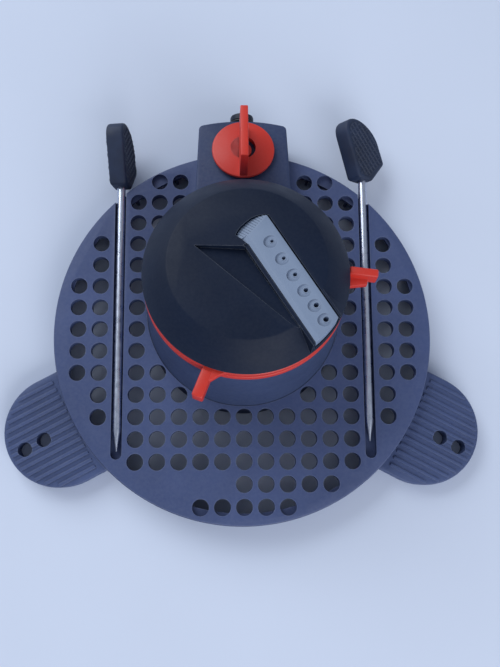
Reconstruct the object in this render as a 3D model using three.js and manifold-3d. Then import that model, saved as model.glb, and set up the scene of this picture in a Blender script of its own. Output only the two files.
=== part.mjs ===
// A turret lawn sprinkler: a turbine-driven head that turns on a leaning drum, on a round perforated base with two
// ribbed wings, a flow valve with a hose nipple behind it, and two steel ground stakes stored in slots of the deck.
// Millimetres, +Z up, +Y towards the hose, origin on the ground under the point where the turret's axis meets the deck.
import * as THREE from "three";
import { mergeVertices } from "three/addons/utils/BufferGeometryUtils.js";
import { ConvexGeometry } from "three/addons/geometries/ConvexGeometry.js";
import Module from "manifold-3d";

const wasm = await Module();
wasm.setup();

// ---------------------------------------------------------------- driving dimensions
const GAP = 0.3; // between neighbouring pieces
const RUN = 0.2; // round a turning shaft
const WALL = 2.4; // moulded walls
const LEAN_DEG = 8; // the turret and the valve lean back towards the hose

// base
const DECK_TOP = 20;
const DECK_THICK = 3;
const DECK_R = 110.8;
const DECK_Y = -15; // the deck's centre, in front of the turret's axis
const SKIRT_FLARE = 0.6; // how much wider the skirt is at the ground
const SKIRT_LEDGE = 5; // the ledge that the deck rests on
const HOLE_R = 4.8;
const PITCH_X = 12.5; // perforation, across
const PITCH_Y = 12.88; // perforation, front to back
const FIRST_ROW_Y = -115.4;
const SIDE_COLUMN = 6.73; // the outer columns stand off the grid, in pitches
const WING_R = 32.5;
const WING_REACH = DECK_R + 9.8; // from the deck's centre to the wing's
const WING_DROP_DEG = 27.8; // the wings point this far in front of straight out
const WING_TOP = 12;
const RIB_HEIGHT = 1;
const RIB_PITCH = 4.6;
const RIB_WIDTH = 2.3;
const STAKE_HOLE_R = 4.2;
const STAKE_HOLES = [10.7, 22.7]; // from the wing's centre, outwards

// stakes, stored in the deck's slots
const STAKE_R = 2.5;
const STAKE_X = 73.3;
const STAKE_Z = 17.4;
const STAKE_BARE = 158.8; // from the tip to the grip
const STAKE_POINT = 11.5;
const STAKE_IN_GRIP = 24;
const STAKE_TIPS_Y = { left: -83.4, right: -78.3 };
const SLOT_END_Y = -88.1;
const GRIP_LENGTH = 36;
const GRIP_WIDTH = 27.4;
const GRIP_OFFSET = 7; // its middle stands beside the stake
const GRIP_FOOT = [-7.8, 3.8]; // its narrow end, across
const GRIP_CHAMFER = 12.4; // where it reaches its full width
const GRIP_ROUND = 12; // how long its rounded end is
const GRIP_THICK = 10.5;
const GRIP_LEAN_DEG = 22.8; // in the plane of its broad face
const GRIP_TURN_DEG = { left: 80, right: 38 }; // round the stake

// turret, in the leaning frame: z is along its axis from the deck
const DRUM_R = 56.6;
const DRUM_TOP_R = 54.4;
const DRUM_TOP = 43.5;
const NECK_R = 47.3;
const RING_R = 55.1;
const RING_HEIGHT = 4.6;
const TAB_REACH = 70.9;
const TAB_WIDTH = 6;
const TAB_UPPER_DEG = -111.3;
const TAB_LOWER_DEG = 1.6;
const HEAD_BAND = 1.4; // the upright band at the cap's rim
const HEAD_TOP_R = 41.4;
const HEAD_TOP = DRUM_TOP + 27.5;
const STRIP_DEG = -58.2; // the nozzle strip's direction, seen from above
const STRIP_NEAR = -22.7; // its edges, across that direction
const STRIP_FAR = -6;
const STRIP_LINE = -17; // its row of nozzles
const STRIP_START = -14;
const STRIP_R = 54.4; // its outer end
const STRIP_DEEP = 9.4;
const NOZZLES = 6;
const FIRST_NOZZLE = -3.1;
const NOZZLE_STEP = 11.1;
const NOZZLE_CLOSING = 0.28; // the nozzles stand closer towards the rim
const NOZZLE_R = [0.8, 1.7]; // first and last

// drive
const MODULE = 1.5;
const WHEEL_TEETH = 24;
const PINION_TEETH = 8;
const SHAFT_R = 1.5;
const TUBE_R = 9;
const TUBE_BORE = 6.5;
const TURBINE_R = 26;
const TURBINE_BLADES = 12;
const GEAR_FACE = 3;

// valve and hose connection
const BOX_HALF = 26.3; // at its back end
const BOX_TAPER = 0.043;
const BOX_BACK = 108.4;
const BOX_CROWN = 3; // the back wall bulges in plan
const BOX_TOP = 24;
const KNOB_Y = 89.9;
const KNOB_R = 18.5;
const KNOB_THICK = 4;
const FIN_HEIGHT = 24.5;
const FIN_THICK = 4.4;
const FIN_ENDS = [-17.8, 14.8]; // from the knob's axis
const EYE_R = 7.4; // the recess in the knob's middle
const SPOOL_R = 8.2;
const WATER_R = 4.8;
const WATER_Z = 10.5;
const NIPPLE_R = 7.2;
const NIPPLE_END_Y = 124;

const ROUND = 48; // sides of large round pieces
const RIM = 72; // sides of the deck and its skirt
const MEDIUM = 24;

// ---------------------------------------------------------------- solids
const LEAN = THREE.MathUtils.degToRad(LEAN_DEG);
const rad = THREE.MathUtils.degToRad;
const round = (n) => 2 * Math.ceil(n / 2);

const solidOf = (geometry) => {
  const loose = geometry.index ? geometry.toNonIndexed() : geometry;
  const bare = new THREE.BufferGeometry().setAttribute("position", loose.getAttribute("position"));
  const merged = mergeVertices(bare, 1e-4);
  const index = merged.index.array;
  const make = (flip) => {
    const kept = [];
    for (let i = 0; i < index.length; i += 3) {
      const [a, b, c] = [index[i], index[i + 1], index[i + 2]];
      if (a !== b && b !== c && c !== a) kept.push(a, ...(flip ? [c, b] : [b, c]));
    }
    return new wasm.Manifold(
      new wasm.Mesh({
        numProp: 3,
        vertProperties: merged.attributes.position.array,
        triVerts: new Uint32Array(kept),
      }),
    );
  };
  const solid = make(false);
  return solid.volume() < 0 ? make(true) : solid;
};
const geometryOf = (solid) => {
  const { vertProperties, triVerts } = solid.getMesh();
  return new THREE.BufferGeometry()
    .setAttribute("position", new THREE.BufferAttribute(vertProperties, 3))
    .setIndex(new THREE.BufferAttribute(triVerts, 1));
};
const join = (...pieces) => geometryOf(pieces.map(solidOf).reduce((a, b) => a.add(b)));
const cut = (body, ...tools) => geometryOf(tools.map(solidOf).reduce((a, b) => a.subtract(b), solidOf(body)));
const common = (a, b) => geometryOf(solidOf(a).intersect(solidOf(b)));

const block = (x0, x1, y0, y1, z0, z1) =>
  new THREE.BoxGeometry(x1 - x0, y1 - y0, z1 - z0).translate((x0 + x1) / 2, (y0 + y1) / 2, (z0 + z1) / 2);
const rod = (r, z0, z1, x = 0, y = 0, sides = 24, topR = r) =>
  new THREE.CylinderGeometry(topR, r, z1 - z0, sides).rotateX(Math.PI / 2).translate(x, y, (z0 + z1) / 2);
const turned = (profile, sides = ROUND) => {
  const closed = profile[0][0] === 0 ? profile : [...profile, profile[0]];
  return new THREE.LatheGeometry(
    closed.map(([r, z]) => new THREE.Vector2(r, z)),
    sides,
  ).rotateX(Math.PI / 2);
};
const tube = (outer, inner, z0, z1, sides = ROUND) =>
  turned([[inner, z0], [outer, z0], [outer, z1], [inner, z1]], sides);
const circle = (r, sides, x = 0, y = 0, from = 0, to = 2 * Math.PI) => {
  const full = to - from >= 2 * Math.PI - 1e-9;
  const steps = full ? sides : sides - 1;
  return Array.from({ length: sides }, (_, i) => {
    const a = from + ((to - from) * i) / steps;
    return [x + r * Math.cos(a), y + r * Math.sin(a)];
  });
};
const plate = (outline, z0, z1, holes = []) => {
  const shape = new THREE.Shape(outline.map(([x, y]) => new THREE.Vector2(x, y)));
  shape.holes = holes.map((hole) => new THREE.Path(hole.map(([x, y]) => new THREE.Vector2(x, y))));
  return new THREE.ExtrudeGeometry(shape, { depth: z1 - z0, bevelEnabled: false }).translate(0, 0, z0);
};
const turnedBy = (geometry, degrees) => geometry.clone().rotateZ(rad(degrees));
const alongY = (geometry, x, z) => geometry.clone().rotateX(-Math.PI / 2).translate(x, 0, z);

// A rod along Y, from y0 to y1.
const rodY = (r, y0, y1, x, z, sides = 24) => alongY(rod(r, y0, y1, 0, 0, sides), x, z);

// ---------------------------------------------------------------- the model and its two frames
const sprinkler = new THREE.Group();
const upright = new THREE.Group();
const leaning = new THREE.Group();
leaning.rotation.x = -LEAN;
leaning.position.z = DECK_TOP;
sprinkler.add(upright, leaning);
leaning.updateMatrix();
const toRow = (geometry) => geometry.clone().applyMatrix4(leaning.matrix);
const toLeaning = (geometry) => geometry.clone().applyMatrix4(leaning.matrix.clone().invert());

const plastic = (color, roughness = 0.5) => new THREE.MeshStandardMaterial({ color, roughness, metalness: 0 });
const ANTHRACITE = plastic(0x4b5866, 0.55);
const BLACK = plastic(0x1c2430, 0.4);
const ORANGE = plastic(0xe2502c, 0.45);
const LIGHT_GREY = plastic(0x9fb0c4, 0.5);
const INNER_WHITE = plastic(0xd8d8d2, 0.5);
const RUBBER = plastic(0x16181b, 0.8);
const STEEL = new THREE.MeshStandardMaterial({ color: 0xb9bec4, roughness: 0.3, metalness: 1 });

const add = (group, name, geometry, material) => {
  const mesh = new THREE.Mesh(geometry, material);
  mesh.name = name;
  group.add(mesh);
  return mesh;
};

// ---------------------------------------------------------------- outlines shared by several pieces
const DECK_BOTTOM = DECK_TOP - DECK_THICK;
const FLOOR_TOP = 2.5; // the bottom cover's upper face
const drumR = (z) => DRUM_R + ((DRUM_TOP_R - DRUM_R) * z) / DRUM_TOP;
const DRUM_FOOT = -27; // below the ground, before the foot is cut level
const drumBody = (grow) => turned([[0, DRUM_FOOT], [drumR(DRUM_FOOT) + grow, DRUM_FOOT], [DRUM_TOP_R + grow, DRUM_TOP], [0, DRUM_TOP]], ROUND);
const boxHalf = (y) => BOX_HALF + (BOX_BACK - y) * BOX_TAPER;
const BOX_FRONT = 40; // inside the drum, before the drum is cut away
const boxOutline = (grow) => {
  const back = BOX_BACK + grow;
  const bulge = Array.from({ length: 9 }, (_, i) => {
    const u = 1 - i / 4;
    return [u * (BOX_HALF + grow - 1.5), back + BOX_CROWN * (1 - u * u)];
  });
  const front = boxHalf(BOX_FRONT) + grow;
  return [[-front, BOX_FRONT], [front, BOX_FRONT], [BOX_HALF + grow, back - 1.5], ...bulge, [-BOX_HALF - grow, back - 1.5]];
};
const boxBody = (grow, top) => plate(boxOutline(grow), -30, top);
const belowFloor = (top) => block(-150, 150, -150, 150, -60, top);

// ---------------------------------------------------------------- base: deck, skirt frame, wings, bottom cover
const mirrored = (i) => (i === 0 ? [0] : [-i, i]);
const span = (from, to) => Array.from({ length: to - from + 1 }, (_, i) => from + i);
// The columns with a hole in each row, from the front; the outer ones are counted as side columns 1 and 2.
const ROWS = [
  { columns: span(-2, 2) },
  { columns: span(0, 4) },
  { columns: span(-5, 5) },
  { columns: span(-5, 5) },
  { columns: span(-5, 5), side: [1] },
  { columns: [3, 4, 5].flatMap(mirrored), side: [1] },
  { columns: [4, 5].flatMap(mirrored), side: [1, 2] },
  { columns: [5].flatMap(mirrored), side: [1, 2] },
  { columns: [5].flatMap(mirrored), side: [1, 2] },
  { columns: [5].flatMap(mirrored), side: [1, 2] },
  { columns: [5].flatMap(mirrored), side: [1, 2] },
  { columns: [5].flatMap(mirrored), side: [1] },
  { columns: [4, 5].flatMap(mirrored), side: [1] },
  { columns: [3, 4, 5].flatMap(mirrored) },
  { columns: [3, 4, 5].flatMap(mirrored) },
  { columns: [3, 4].flatMap(mirrored) },
];
const holeCentres = ROWS.flatMap(({ columns, side = [] }, row) => {
  const across = [...columns, ...side.flatMap((n) => [SIDE_COLUMN + n - 1, 1 - n - SIDE_COLUMN])];
  return across.map((column) => [column * PITCH_X, FIRST_ROW_Y + row * PITCH_Y]);
});
const SLOT_HALF = STAKE_R + 0.7;
const slot = (x, z0) =>
  join(block(x - SLOT_HALF, x + SLOT_HALF, SLOT_END_Y + SLOT_HALF, 120, z0, DECK_TOP + 1),
    rod(SLOT_HALF, z0, DECK_TOP + 1, x, SLOT_END_Y + SLOT_HALF, 16));

function deckPlate() {
  const disc = plate(circle(DECK_R, RIM, 0, DECK_Y), DECK_BOTTOM, DECK_TOP,
    holeCentres.map(([x, y]) => circle(HOLE_R, 8, x, y).reverse()));
  const cradle = (x, y) =>
    cut(block(x - SLOT_HALF - 3, x + SLOT_HALF + 3, y - 2.5, y + 2.5, STAKE_Z - STAKE_R - 3, DECK_BOTTOM + 1),
      block(x - SLOT_HALF, x + SLOT_HALF, y - 4, y + 4, STAKE_Z - STAKE_R - GAP, DECK_TOP));
  const open = cut(disc, toRow(drumBody(GAP)), toRow(boxBody(GAP, 30)), slot(-STAKE_X, 10), slot(STAKE_X, 10));
  const cradles = [-STAKE_X, STAKE_X].flatMap((x) => [FIRST_ROW_Y + 3.5 * PITCH_Y, FIRST_ROW_Y + 10.5 * PITCH_Y].map((y) => cradle(x, y)));
  return join(open, ...cradles);
}
add(upright, "deck_plate", deckPlate(), ANTHRACITE);

const skirtR = (z) => DECK_R + 0.5 + (SKIRT_FLARE * (DECK_BOTTOM - z)) / DECK_BOTTOM;
const SKIRT_TOP = DECK_BOTTOM - GAP;
const skirtSolid = (grow) =>
  turned([[0, 0], [skirtR(0) + grow, 0], [skirtR(SKIRT_TOP) + grow, SKIRT_TOP], [0, SKIRT_TOP]], RIM).translate(0, DECK_Y, 0);

function baseFrame() {
  const top = skirtR(SKIRT_TOP);
  const ring = turned([
    [skirtR(0), 0],
    [top, SKIRT_TOP],
    [top - SKIRT_LEDGE - WALL, SKIRT_TOP],
    [top - SKIRT_LEDGE - WALL, SKIRT_TOP - WALL],
    [top - WALL, SKIRT_TOP - WALL],
    [skirtR(0) - WALL, 0],
  ], RIM).translate(0, DECK_Y, 0);
  return cut(ring, toRow(boxBody(GAP, 30)), slot(-STAKE_X, STAKE_Z - STAKE_R - GAP), slot(STAKE_X, STAKE_Z - STAKE_R - GAP));
}
add(upright, "base_frame", baseFrame(), ANTHRACITE);

// A wing in its own frame: +X points outwards from the deck's centre.
function wing() {
  const outline = (r) => [
    [WING_REACH - 16, -r],
    ...circle(r, 25, WING_REACH, 0, -Math.PI / 2, Math.PI / 2),
    [WING_REACH - 16, r],
  ];
  const holes = STAKE_HOLES.map((x) => rod(STAKE_HOLE_R, -1, WING_TOP + 1, WING_REACH + x, 0, 16));
  const slab = plate(outline(WING_R), 0, WING_TOP - RIB_HEIGHT);
  const count = Math.floor((WING_R - 2) / RIB_PITCH);
  const ribs = span(-count, count).map((i) => {
    const y = i * RIB_PITCH;
    const half = Math.sqrt((WING_R - 1) ** 2 - y * y);
    return block(WING_REACH - 4, WING_REACH + half - 1, y - RIB_WIDTH / 2, y + RIB_WIDTH / 2, WING_TOP - RIB_HEIGHT - 0.5, WING_TOP);
  });
  return cut(join(slab, ...ribs), ...holes);
}
const wingAt = (degrees) => cut(turnedBy(wing(), degrees).translate(0, DECK_Y, 0), skirtSolid(GAP));
add(upright, "wing_left", wingAt(180 + WING_DROP_DEG), ANTHRACITE);
add(upright, "wing_right", wingAt(-WING_DROP_DEG), ANTHRACITE);

const DRUM_LEVEL = FLOOR_TOP + GAP; // where the drum's foot is cut level
const COVER_R = drumR(-18) - 0.4;
const COVER_Y = -(DECK_TOP - FLOOR_TOP / 2) * Math.tan(LEAN); // where the leaning axis meets it
const SCREW_R = 1.6;
const SCREW_HEAD_R = 3;
const bottomScrews = [45, 135, 225, 315].map((a) => [51.6 * Math.cos(rad(a)), COVER_Y + 51.6 * Math.sin(rad(a))]);
const screw = (x, y, z, length) => join(rod(SCREW_HEAD_R, z, z + 1.6, x, y, 12), rod(SCREW_R, z + 1, z + length, x, y, 10));
add(upright, "bottom_cover",
  cut(rod(COVER_R, 0, FLOOR_TOP, 0, COVER_Y, ROUND),
    ...bottomScrews.flatMap(([x, y]) => [rod(SCREW_R + 0.2, -1, 4, x, y, 10), rod(SCREW_HEAD_R + 0.2, -1, 2.0, x, y, 12)])),
  BLACK);
bottomScrews.forEach(([x, y], i) => add(upright, `bottom_screw_${i + 1}`, screw(x, y, 0.3, 7), STEEL));

// ---------------------------------------------------------------- turret housing
const LEDGE_Z = 9; // carries the gear plate
const PORT_R = WATER_R + 1.8 + GAP;
function turretHousing() {
  const plateBottom = DRUM_TOP - 2.5;
  const shell = turned([
    [drumR(DRUM_FOOT), DRUM_FOOT],
    [DRUM_TOP_R, DRUM_TOP],
    [NECK_R, DRUM_TOP],
    [NECK_R, DRUM_TOP + 10.7],
    [NECK_R - WALL, DRUM_TOP + 10.7],
    [NECK_R - WALL, DRUM_TOP],
    [12, DRUM_TOP],
    [12, plateBottom],
    [drumR(plateBottom) - WALL, plateBottom],
    [drumR(LEDGE_Z) - WALL, LEDGE_Z],
    [drumR(LEDGE_Z) - WALL - 2, LEDGE_Z],
    [drumR(LEDGE_Z) - WALL - 2, LEDGE_Z - 2],
    [drumR(LEDGE_Z) - WALL, LEDGE_Z - 4],
    [drumR(DRUM_FOOT) - WALL, DRUM_FOOT],
  ], ROUND);
  const bosses = bottomScrews.map(([x, y]) =>
    cut(toLeaning(rod(4.2, 0, DECK_TOP - 9, x, y, 14)), toLeaning(rod(SCREW_R + 0.2, -1, 9, x, y, 10))));
  const inside = drumBody(-1);
  return cut(join(shell, ...bosses.map((boss) => common(boss, inside))),
    toLeaning(belowFloor(DRUM_LEVEL)),
    toLeaning(rodY(PORT_R, 40, 70, 0, WATER_Z)));
}
add(leaning, "turret_housing", turretHousing(), ANTHRACITE);

// ---------------------------------------------------------------- drive: turbine, gear train, output tube
const CENTRES = ((WHEEL_TEETH + PINION_TEETH) * MODULE) / 2 + 0.2;
const TOOTH_TOP = 0.85 * MODULE;
const TOOTH_ROOT = 1.15 * MODULE;
function gear(teeth, z0, z1, phase, bore) {
  const pitchR = (teeth * MODULE) / 2;
  const step = (2 * Math.PI) / teeth;
  const outline = Array.from({ length: teeth }, (_, i) => {
    const at = (i + phase) * step;
    return [
      [pitchR - TOOTH_ROOT, at - 0.22 * step],
      [pitchR + TOOTH_TOP, at - 0.1 * step],
      [pitchR + TOOTH_TOP, at + 0.1 * step],
      [pitchR - TOOTH_ROOT, at + 0.22 * step],
    ].map(([r, a]) => [r * Math.cos(a), r * Math.sin(a)]);
  }).flat();
  return plate(outline, z0, z1, bore ? [circle(bore, 12).reverse()] : []);
}
const CASE_FLOOR = LEDGE_Z + 2.6; // the gear base plate's upper face
const STAGE = GEAR_FACE + 1;
const stageZ = (n) => CASE_FLOOR + 0.6 + n * STAGE;
const wheelAndPinion = (n) =>
  join(gear(WHEEL_TEETH, stageZ(n), stageZ(n) + GEAR_FACE, 0.5, SHAFT_R + RUN),
    gear(PINION_TEETH, stageZ(n) + GEAR_FACE - 0.2, stageZ(n + 1) + GEAR_FACE + 0.2, 0, SHAFT_R + RUN));

const TURBINE_Z = LEDGE_Z - 5.4;
const POT_R = TURBINE_R + 5;
const POT_FLOOR = -12.4;
function turbineHousing() {
  const pot = turned([
    [SHAFT_R + RUN, POT_FLOOR], [POT_R, POT_FLOOR], [POT_R, LEDGE_Z], [POT_R - 2, LEDGE_Z],
    [POT_R - 2, POT_FLOOR + 2], [SHAFT_R + RUN, POT_FLOOR + 2],
  ], 48);
  const windows = [45, 135, 225, 315].map((a) => turnedBy(block(POT_R - 4, POT_R + 2, -4, 4, LEDGE_Z - 3.5, LEDGE_Z + 1), a));
  return cut(pot, toLeaning(rodY(PORT_R, 15, 50, 0, WATER_Z)), ...windows);
}
add(leaning, "turbine_housing", turbineHousing(), INNER_WHITE);

function statorDisc() {
  const slots = span(0, 7).map((i) => turnedBy(block(15, 22, -1.2, 1.2, TURBINE_Z - 4, TURBINE_Z + 2), i * 45));
  return cut(tube(POT_R - 2 - GAP, 4, TURBINE_Z - 2.4, TURBINE_Z - 0.8, 48), ...slots);
}
add(leaning, "stator_disc", statorDisc(), INNER_WHITE);

function turbineWheel() {
  const blades = span(0, TURBINE_BLADES - 1).map((i) =>
    turnedBy(new THREE.BoxGeometry(TURBINE_R - 8, 1.2, 4.4).rotateX(rad(35)).translate((TURBINE_R + 6) / 2, 0, TURBINE_Z + 2.6),
      (i * 360) / TURBINE_BLADES));
  return join(tube(8, SHAFT_R + 0.05, TURBINE_Z, TURBINE_Z + 5, 24), ...blades);
}
add(leaning, "turbine_wheel", turbineWheel(), LIGHT_GREY);
add(leaning, "turbine_shaft", rod(SHAFT_R, POT_FLOOR + 0.4, stageZ(2) + GEAR_FACE, 0, 0, 12), STEEL);
add(leaning, "turbine_pinion",
  gear(PINION_TEETH, stageZ(0) - 0.2, stageZ(0) + GEAR_FACE + 0.2, 0, SHAFT_R + 0.05), INNER_WHITE);

const layX = CENTRES;
add(leaning, "gear_base_plate",
  cut(rod(drumR(CASE_FLOOR) - WALL - GAP - 0.2, LEDGE_Z + GAP, CASE_FLOOR, 0, 0, ROUND),
    rod(SHAFT_R + RUN, LEDGE_Z, CASE_FLOOR + 1, 0, 0, 12),
    rod(SHAFT_R + 0.05, LEDGE_Z, CASE_FLOOR + 1, layX, 0, 12),
    ...span(0, 7).map((i) => turnedBy(rod(1.9, LEDGE_Z, CASE_FLOOR + 1, 49.2, 0, 8), i * 45 + 22.5))),
  INNER_WHITE);
add(leaning, "lay_shaft", rod(SHAFT_R, LEDGE_Z + GAP, stageZ(3) + GEAR_FACE + 3, layX, 0, 12), STEEL);
add(leaning, "compound_gear_1", wheelAndPinion(0).translate(layX, 0, 0).rotateZ(0), INNER_WHITE);
add(leaning, "compound_gear_2", wheelAndPinion(1), INNER_WHITE);
add(leaning, "compound_gear_3", wheelAndPinion(2).translate(layX, 0, 0), INNER_WHITE);

const OUTPUT_Z = stageZ(3);
const SOCKET_TOP = OUTPUT_Z + GEAR_FACE + 2.5;
add(leaning, "output_gear",
  join(gear(WHEEL_TEETH, OUTPUT_Z, OUTPUT_Z + GEAR_FACE, 0.5, 3),
    turned([[3, OUTPUT_Z + 1], [TUBE_R + 2.2, OUTPUT_Z + 1], [TUBE_R + 2.2, SOCKET_TOP], [TUBE_R + 0.1, SOCKET_TOP],
      [TUBE_R + 0.1, OUTPUT_Z + GEAR_FACE], [3, OUTPUT_Z + GEAR_FACE]], MEDIUM)),
  INNER_WHITE);
const CASE_TOP = SOCKET_TOP + 1;
const CASE_R = layX + (WHEEL_TEETH * MODULE) / 2 + TOOTH_TOP + 3;
add(leaning, "gear_case",
  cut(turned([
    [CASE_R, CASE_FLOOR + GAP], [CASE_R, CASE_TOP + 2], [TUBE_R + RUN, CASE_TOP + 2], [TUBE_R + RUN, CASE_TOP],
    [CASE_R - 2, CASE_TOP], [CASE_R - 2, CASE_FLOOR + GAP],
  ], ROUND), rod(SHAFT_R + 0.05, CASE_TOP - 1, CASE_TOP + 1, layX, 0, 12)),
  INNER_WHITE);

const HEAD_Z = DRUM_TOP + 11.1; // the head's underside
const TUBE_TOP = HEAD_Z + 2.7;
add(leaning, "output_tube",
  cut(tube(TUBE_R, TUBE_BORE, OUTPUT_Z + GEAR_FACE + 0.2, TUBE_TOP, MEDIUM),
    ...[0, 90].map((a) => turnedBy(block(-15, 15, -3, 3, CASE_TOP + 3.2, DRUM_TOP - 5), a))),
  LIGHT_GREY);
add(leaning, "bearing_bush",
  turned([
    [TUBE_R + RUN, DRUM_TOP - 4], [11.7, DRUM_TOP - 4], [11.7, DRUM_TOP + GAP], [14.5, DRUM_TOP + GAP],
    [14.5, DRUM_TOP + 1.8], [TUBE_R + RUN, DRUM_TOP + 1.8],
  ], MEDIUM), LIGHT_GREY);
add(leaning, "shaft_seal", tube(13.4, TUBE_R + RUN, DRUM_TOP + 2.1, DRUM_TOP + 4.6, MEDIUM), RUBBER);
add(leaning, "thrust_washer", tube(13.4, TUBE_R + RUN, DRUM_TOP + 4.9, DRUM_TOP + 6.1, MEDIUM), STEEL);

// The lever that turns the head back at a sector tab, its pin and its spring, inside the drum's neck.
const TRIP = [-30, 8];
add(leaning, "trip_pin", rod(SHAFT_R, DRUM_TOP + GAP, DRUM_TOP + 7, ...TRIP, 12), STEEL);
function tripLever() {
  const outline = [...circle(4.5, 9, 0, 0, rad(90), rad(270)), [10.6, -2], [12.4, 0], [10.6, 2]];
  const arm = plate(outline, DRUM_TOP + 3, DRUM_TOP + 5.5, [circle(SHAFT_R + RUN, 12).reverse()]);
  return turnedBy(arm, 165).translate(...TRIP, 0);
}
add(leaning, "trip_lever", tripLever(), LIGHT_GREY);
function tripSpring() {
  const coil = new THREE.CatmullRomCurve3(
    span(0, 20).map((i) => {
      const a = (i / 20) * 2.2 * Math.PI;
      return new THREE.Vector3(2.6 * Math.cos(a), 2.6 * Math.sin(a), 0.09 * i);
    }));
  const wire = new THREE.Shape(circle(0.4, 6).map(([x, y]) => new THREE.Vector2(x, y)));
  return new THREE.ExtrudeGeometry(wire, { steps: 30, extrudePath: coil, bevelEnabled: false })
    .translate(...TRIP, DRUM_TOP + 0.8);
}
add(leaning, "trip_spring", tripSpring(), STEEL);

// ---------------------------------------------------------------- sector rings with their tabs
const RING_BORE = NECK_R + 0.4;
const RINGS_Z = DRUM_TOP + 0.4;
const RING_STEP = RING_HEIGHT + 0.4;
function sectorRing(level, tabDeg, side) {
  const z0 = RINGS_Z + level * RING_STEP;
  const ring = tube(RING_R, RING_BORE, z0, z0 + RING_HEIGHT, ROUND);
  const low = RINGS_Z;
  const high = RINGS_Z + RING_STEP + RING_HEIGHT;
  const tab = block(RING_R + 0.4, TAB_REACH, -TAB_WIDTH / 2, TAB_WIDTH / 2, low, high);
  const root = block(RING_R - 2, RING_R + 1, -TAB_WIDTH / 2, TAB_WIDTH / 2, z0, z0 + RING_HEIGHT);
  const corner = [[RING_R - 1, 0], [RING_R + 7, 0], [RING_R - 1, 10 * side]];
  const gusset = plate(side > 0 ? corner : corner.reverse(), z0, z0 + RING_HEIGHT);
  return join(ring, ...[root, tab, gusset].map((piece) => turnedBy(piece, tabDeg)));
}
add(leaning, "sector_ring_lower", sectorRing(0, TAB_LOWER_DEG, -1), ORANGE);
add(leaning, "sector_ring_upper", sectorRing(1, TAB_UPPER_DEG, 1), ORANGE);

// ---------------------------------------------------------------- head
// The strip's own frame: x runs along the strip towards the rim, and y to its right, over the hollow that it sprays
// across.
const alongStrip = (geometry) => geometry.clone().scale(1, -1, 1).rotateZ(rad(STRIP_DEG));
const fromStrip = (x, y) => {
  const angle = rad(STRIP_DEG);
  return [x * Math.cos(angle) + y * Math.sin(angle), x * Math.sin(angle) - y * Math.cos(angle)];
};
const stripEnd = (y, r) => Math.sqrt(r * r - y * y);
const stripOutline = (grow, r) => {
  const [near, far] = [STRIP_NEAR - grow, STRIP_FAR + grow];
  const middle = (near + far) / 2;
  return [
    [STRIP_START - 2.5 - grow, near],
    [stripEnd(near, r), near],
    [stripEnd(middle, r), middle],
    [stripEnd(far, r), far],
    [STRIP_START + 6 + grow, far],
    [STRIP_START + 6 + grow, far + 0.2],
    [STRIP_START - 1.5 - grow, far + 2.8],
    [STRIP_START - 4 - grow, far - 1],
    [STRIP_START - 5.2 - grow, middle],
    [STRIP_START - 4.4 - grow, near + 4],
  ];
};
const CONE_FOOT = HEAD_Z + HEAD_BAND;
const headSolid = turned([[0, HEAD_Z], [RING_R, HEAD_Z], [RING_R, CONE_FOOT], [HEAD_TOP_R, HEAD_TOP], [0, HEAD_TOP]], ROUND);
const STRIP_BOTTOM = HEAD_TOP + 0.3 - STRIP_DEEP;
const MANIFOLD_Z = HEAD_Z + 2.7 + GAP;
const HEAD_BASE_TOP = HEAD_Z + 2.4;
// The hollow that the jets leave over, a wedge that is deepest beside the strip.
const wedge = (grow) => {
  const top = HEAD_TOP + 4;
  const corners = [
    [-22 - grow, 18.3 + grow, HEAD_TOP - grow],
    [42 + 2 * grow, -1.4 + grow, HEAD_TOP - grow],
    [44 + 2 * grow, STRIP_FAR - 1, HEAD_TOP - 2.6 - grow],
    [-8 - grow, STRIP_FAR - 1, HEAD_TOP - 9 - grow],
  ];
  const points = corners.flatMap(([x, y, z]) => [new THREE.Vector3(x, y, z), new THREE.Vector3(x, y, top)]);
  return alongStrip(new ConvexGeometry(points));
};
const stripPlan = (grow, r, z0, z1) => alongStrip(plate(stripOutline(grow, r), z0, z1));
const capScrews = [60, 165, 250].map((a) => fromStrip(36 * Math.cos(rad(a)), 36 * Math.sin(rad(a))));

function headCap() {
  const inner = turned([
    [0, HEAD_Z - 1], [RING_R - WALL, HEAD_Z - 1], [RING_R - WALL, CONE_FOOT],
    [HEAD_TOP_R - WALL + 0.6, HEAD_TOP - WALL], [0, HEAD_TOP - WALL],
  ], ROUND);
  const rimBody = rod(RING_R, HEAD_BASE_TOP + GAP, HEAD_TOP, 0, 0, ROUND);
  const seat = common(stripPlan(2, RING_R, HEAD_BASE_TOP + GAP, HEAD_TOP), rimBody);
  const hollowWall = common(wedge(2), headSolid);
  const bosses = capScrews.map(([x, y]) => common(rod(3.4, HEAD_BASE_TOP + GAP, HEAD_TOP - 1, x, y, 14), headSolid));
  const pilots = capScrews.map(([x, y]) => rod(SCREW_R - 0.1, HEAD_Z, HEAD_Z + 9, x, y, 10));
  return cut(
    join(cut(headSolid, inner), seat, hollowWall, ...bosses),
    wedge(0),
    stripPlan(GAP, 70, STRIP_BOTTOM - GAP, HEAD_TOP + 5),
    stripPlan(-1.5, 52, HEAD_Z, HEAD_TOP),
    rod(13, HEAD_Z, STRIP_BOTTOM - 0.9, 0, 0, MEDIUM),
    ...pilots,
  );
}
add(leaning, "head_cap", headCap(), BLACK);

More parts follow.
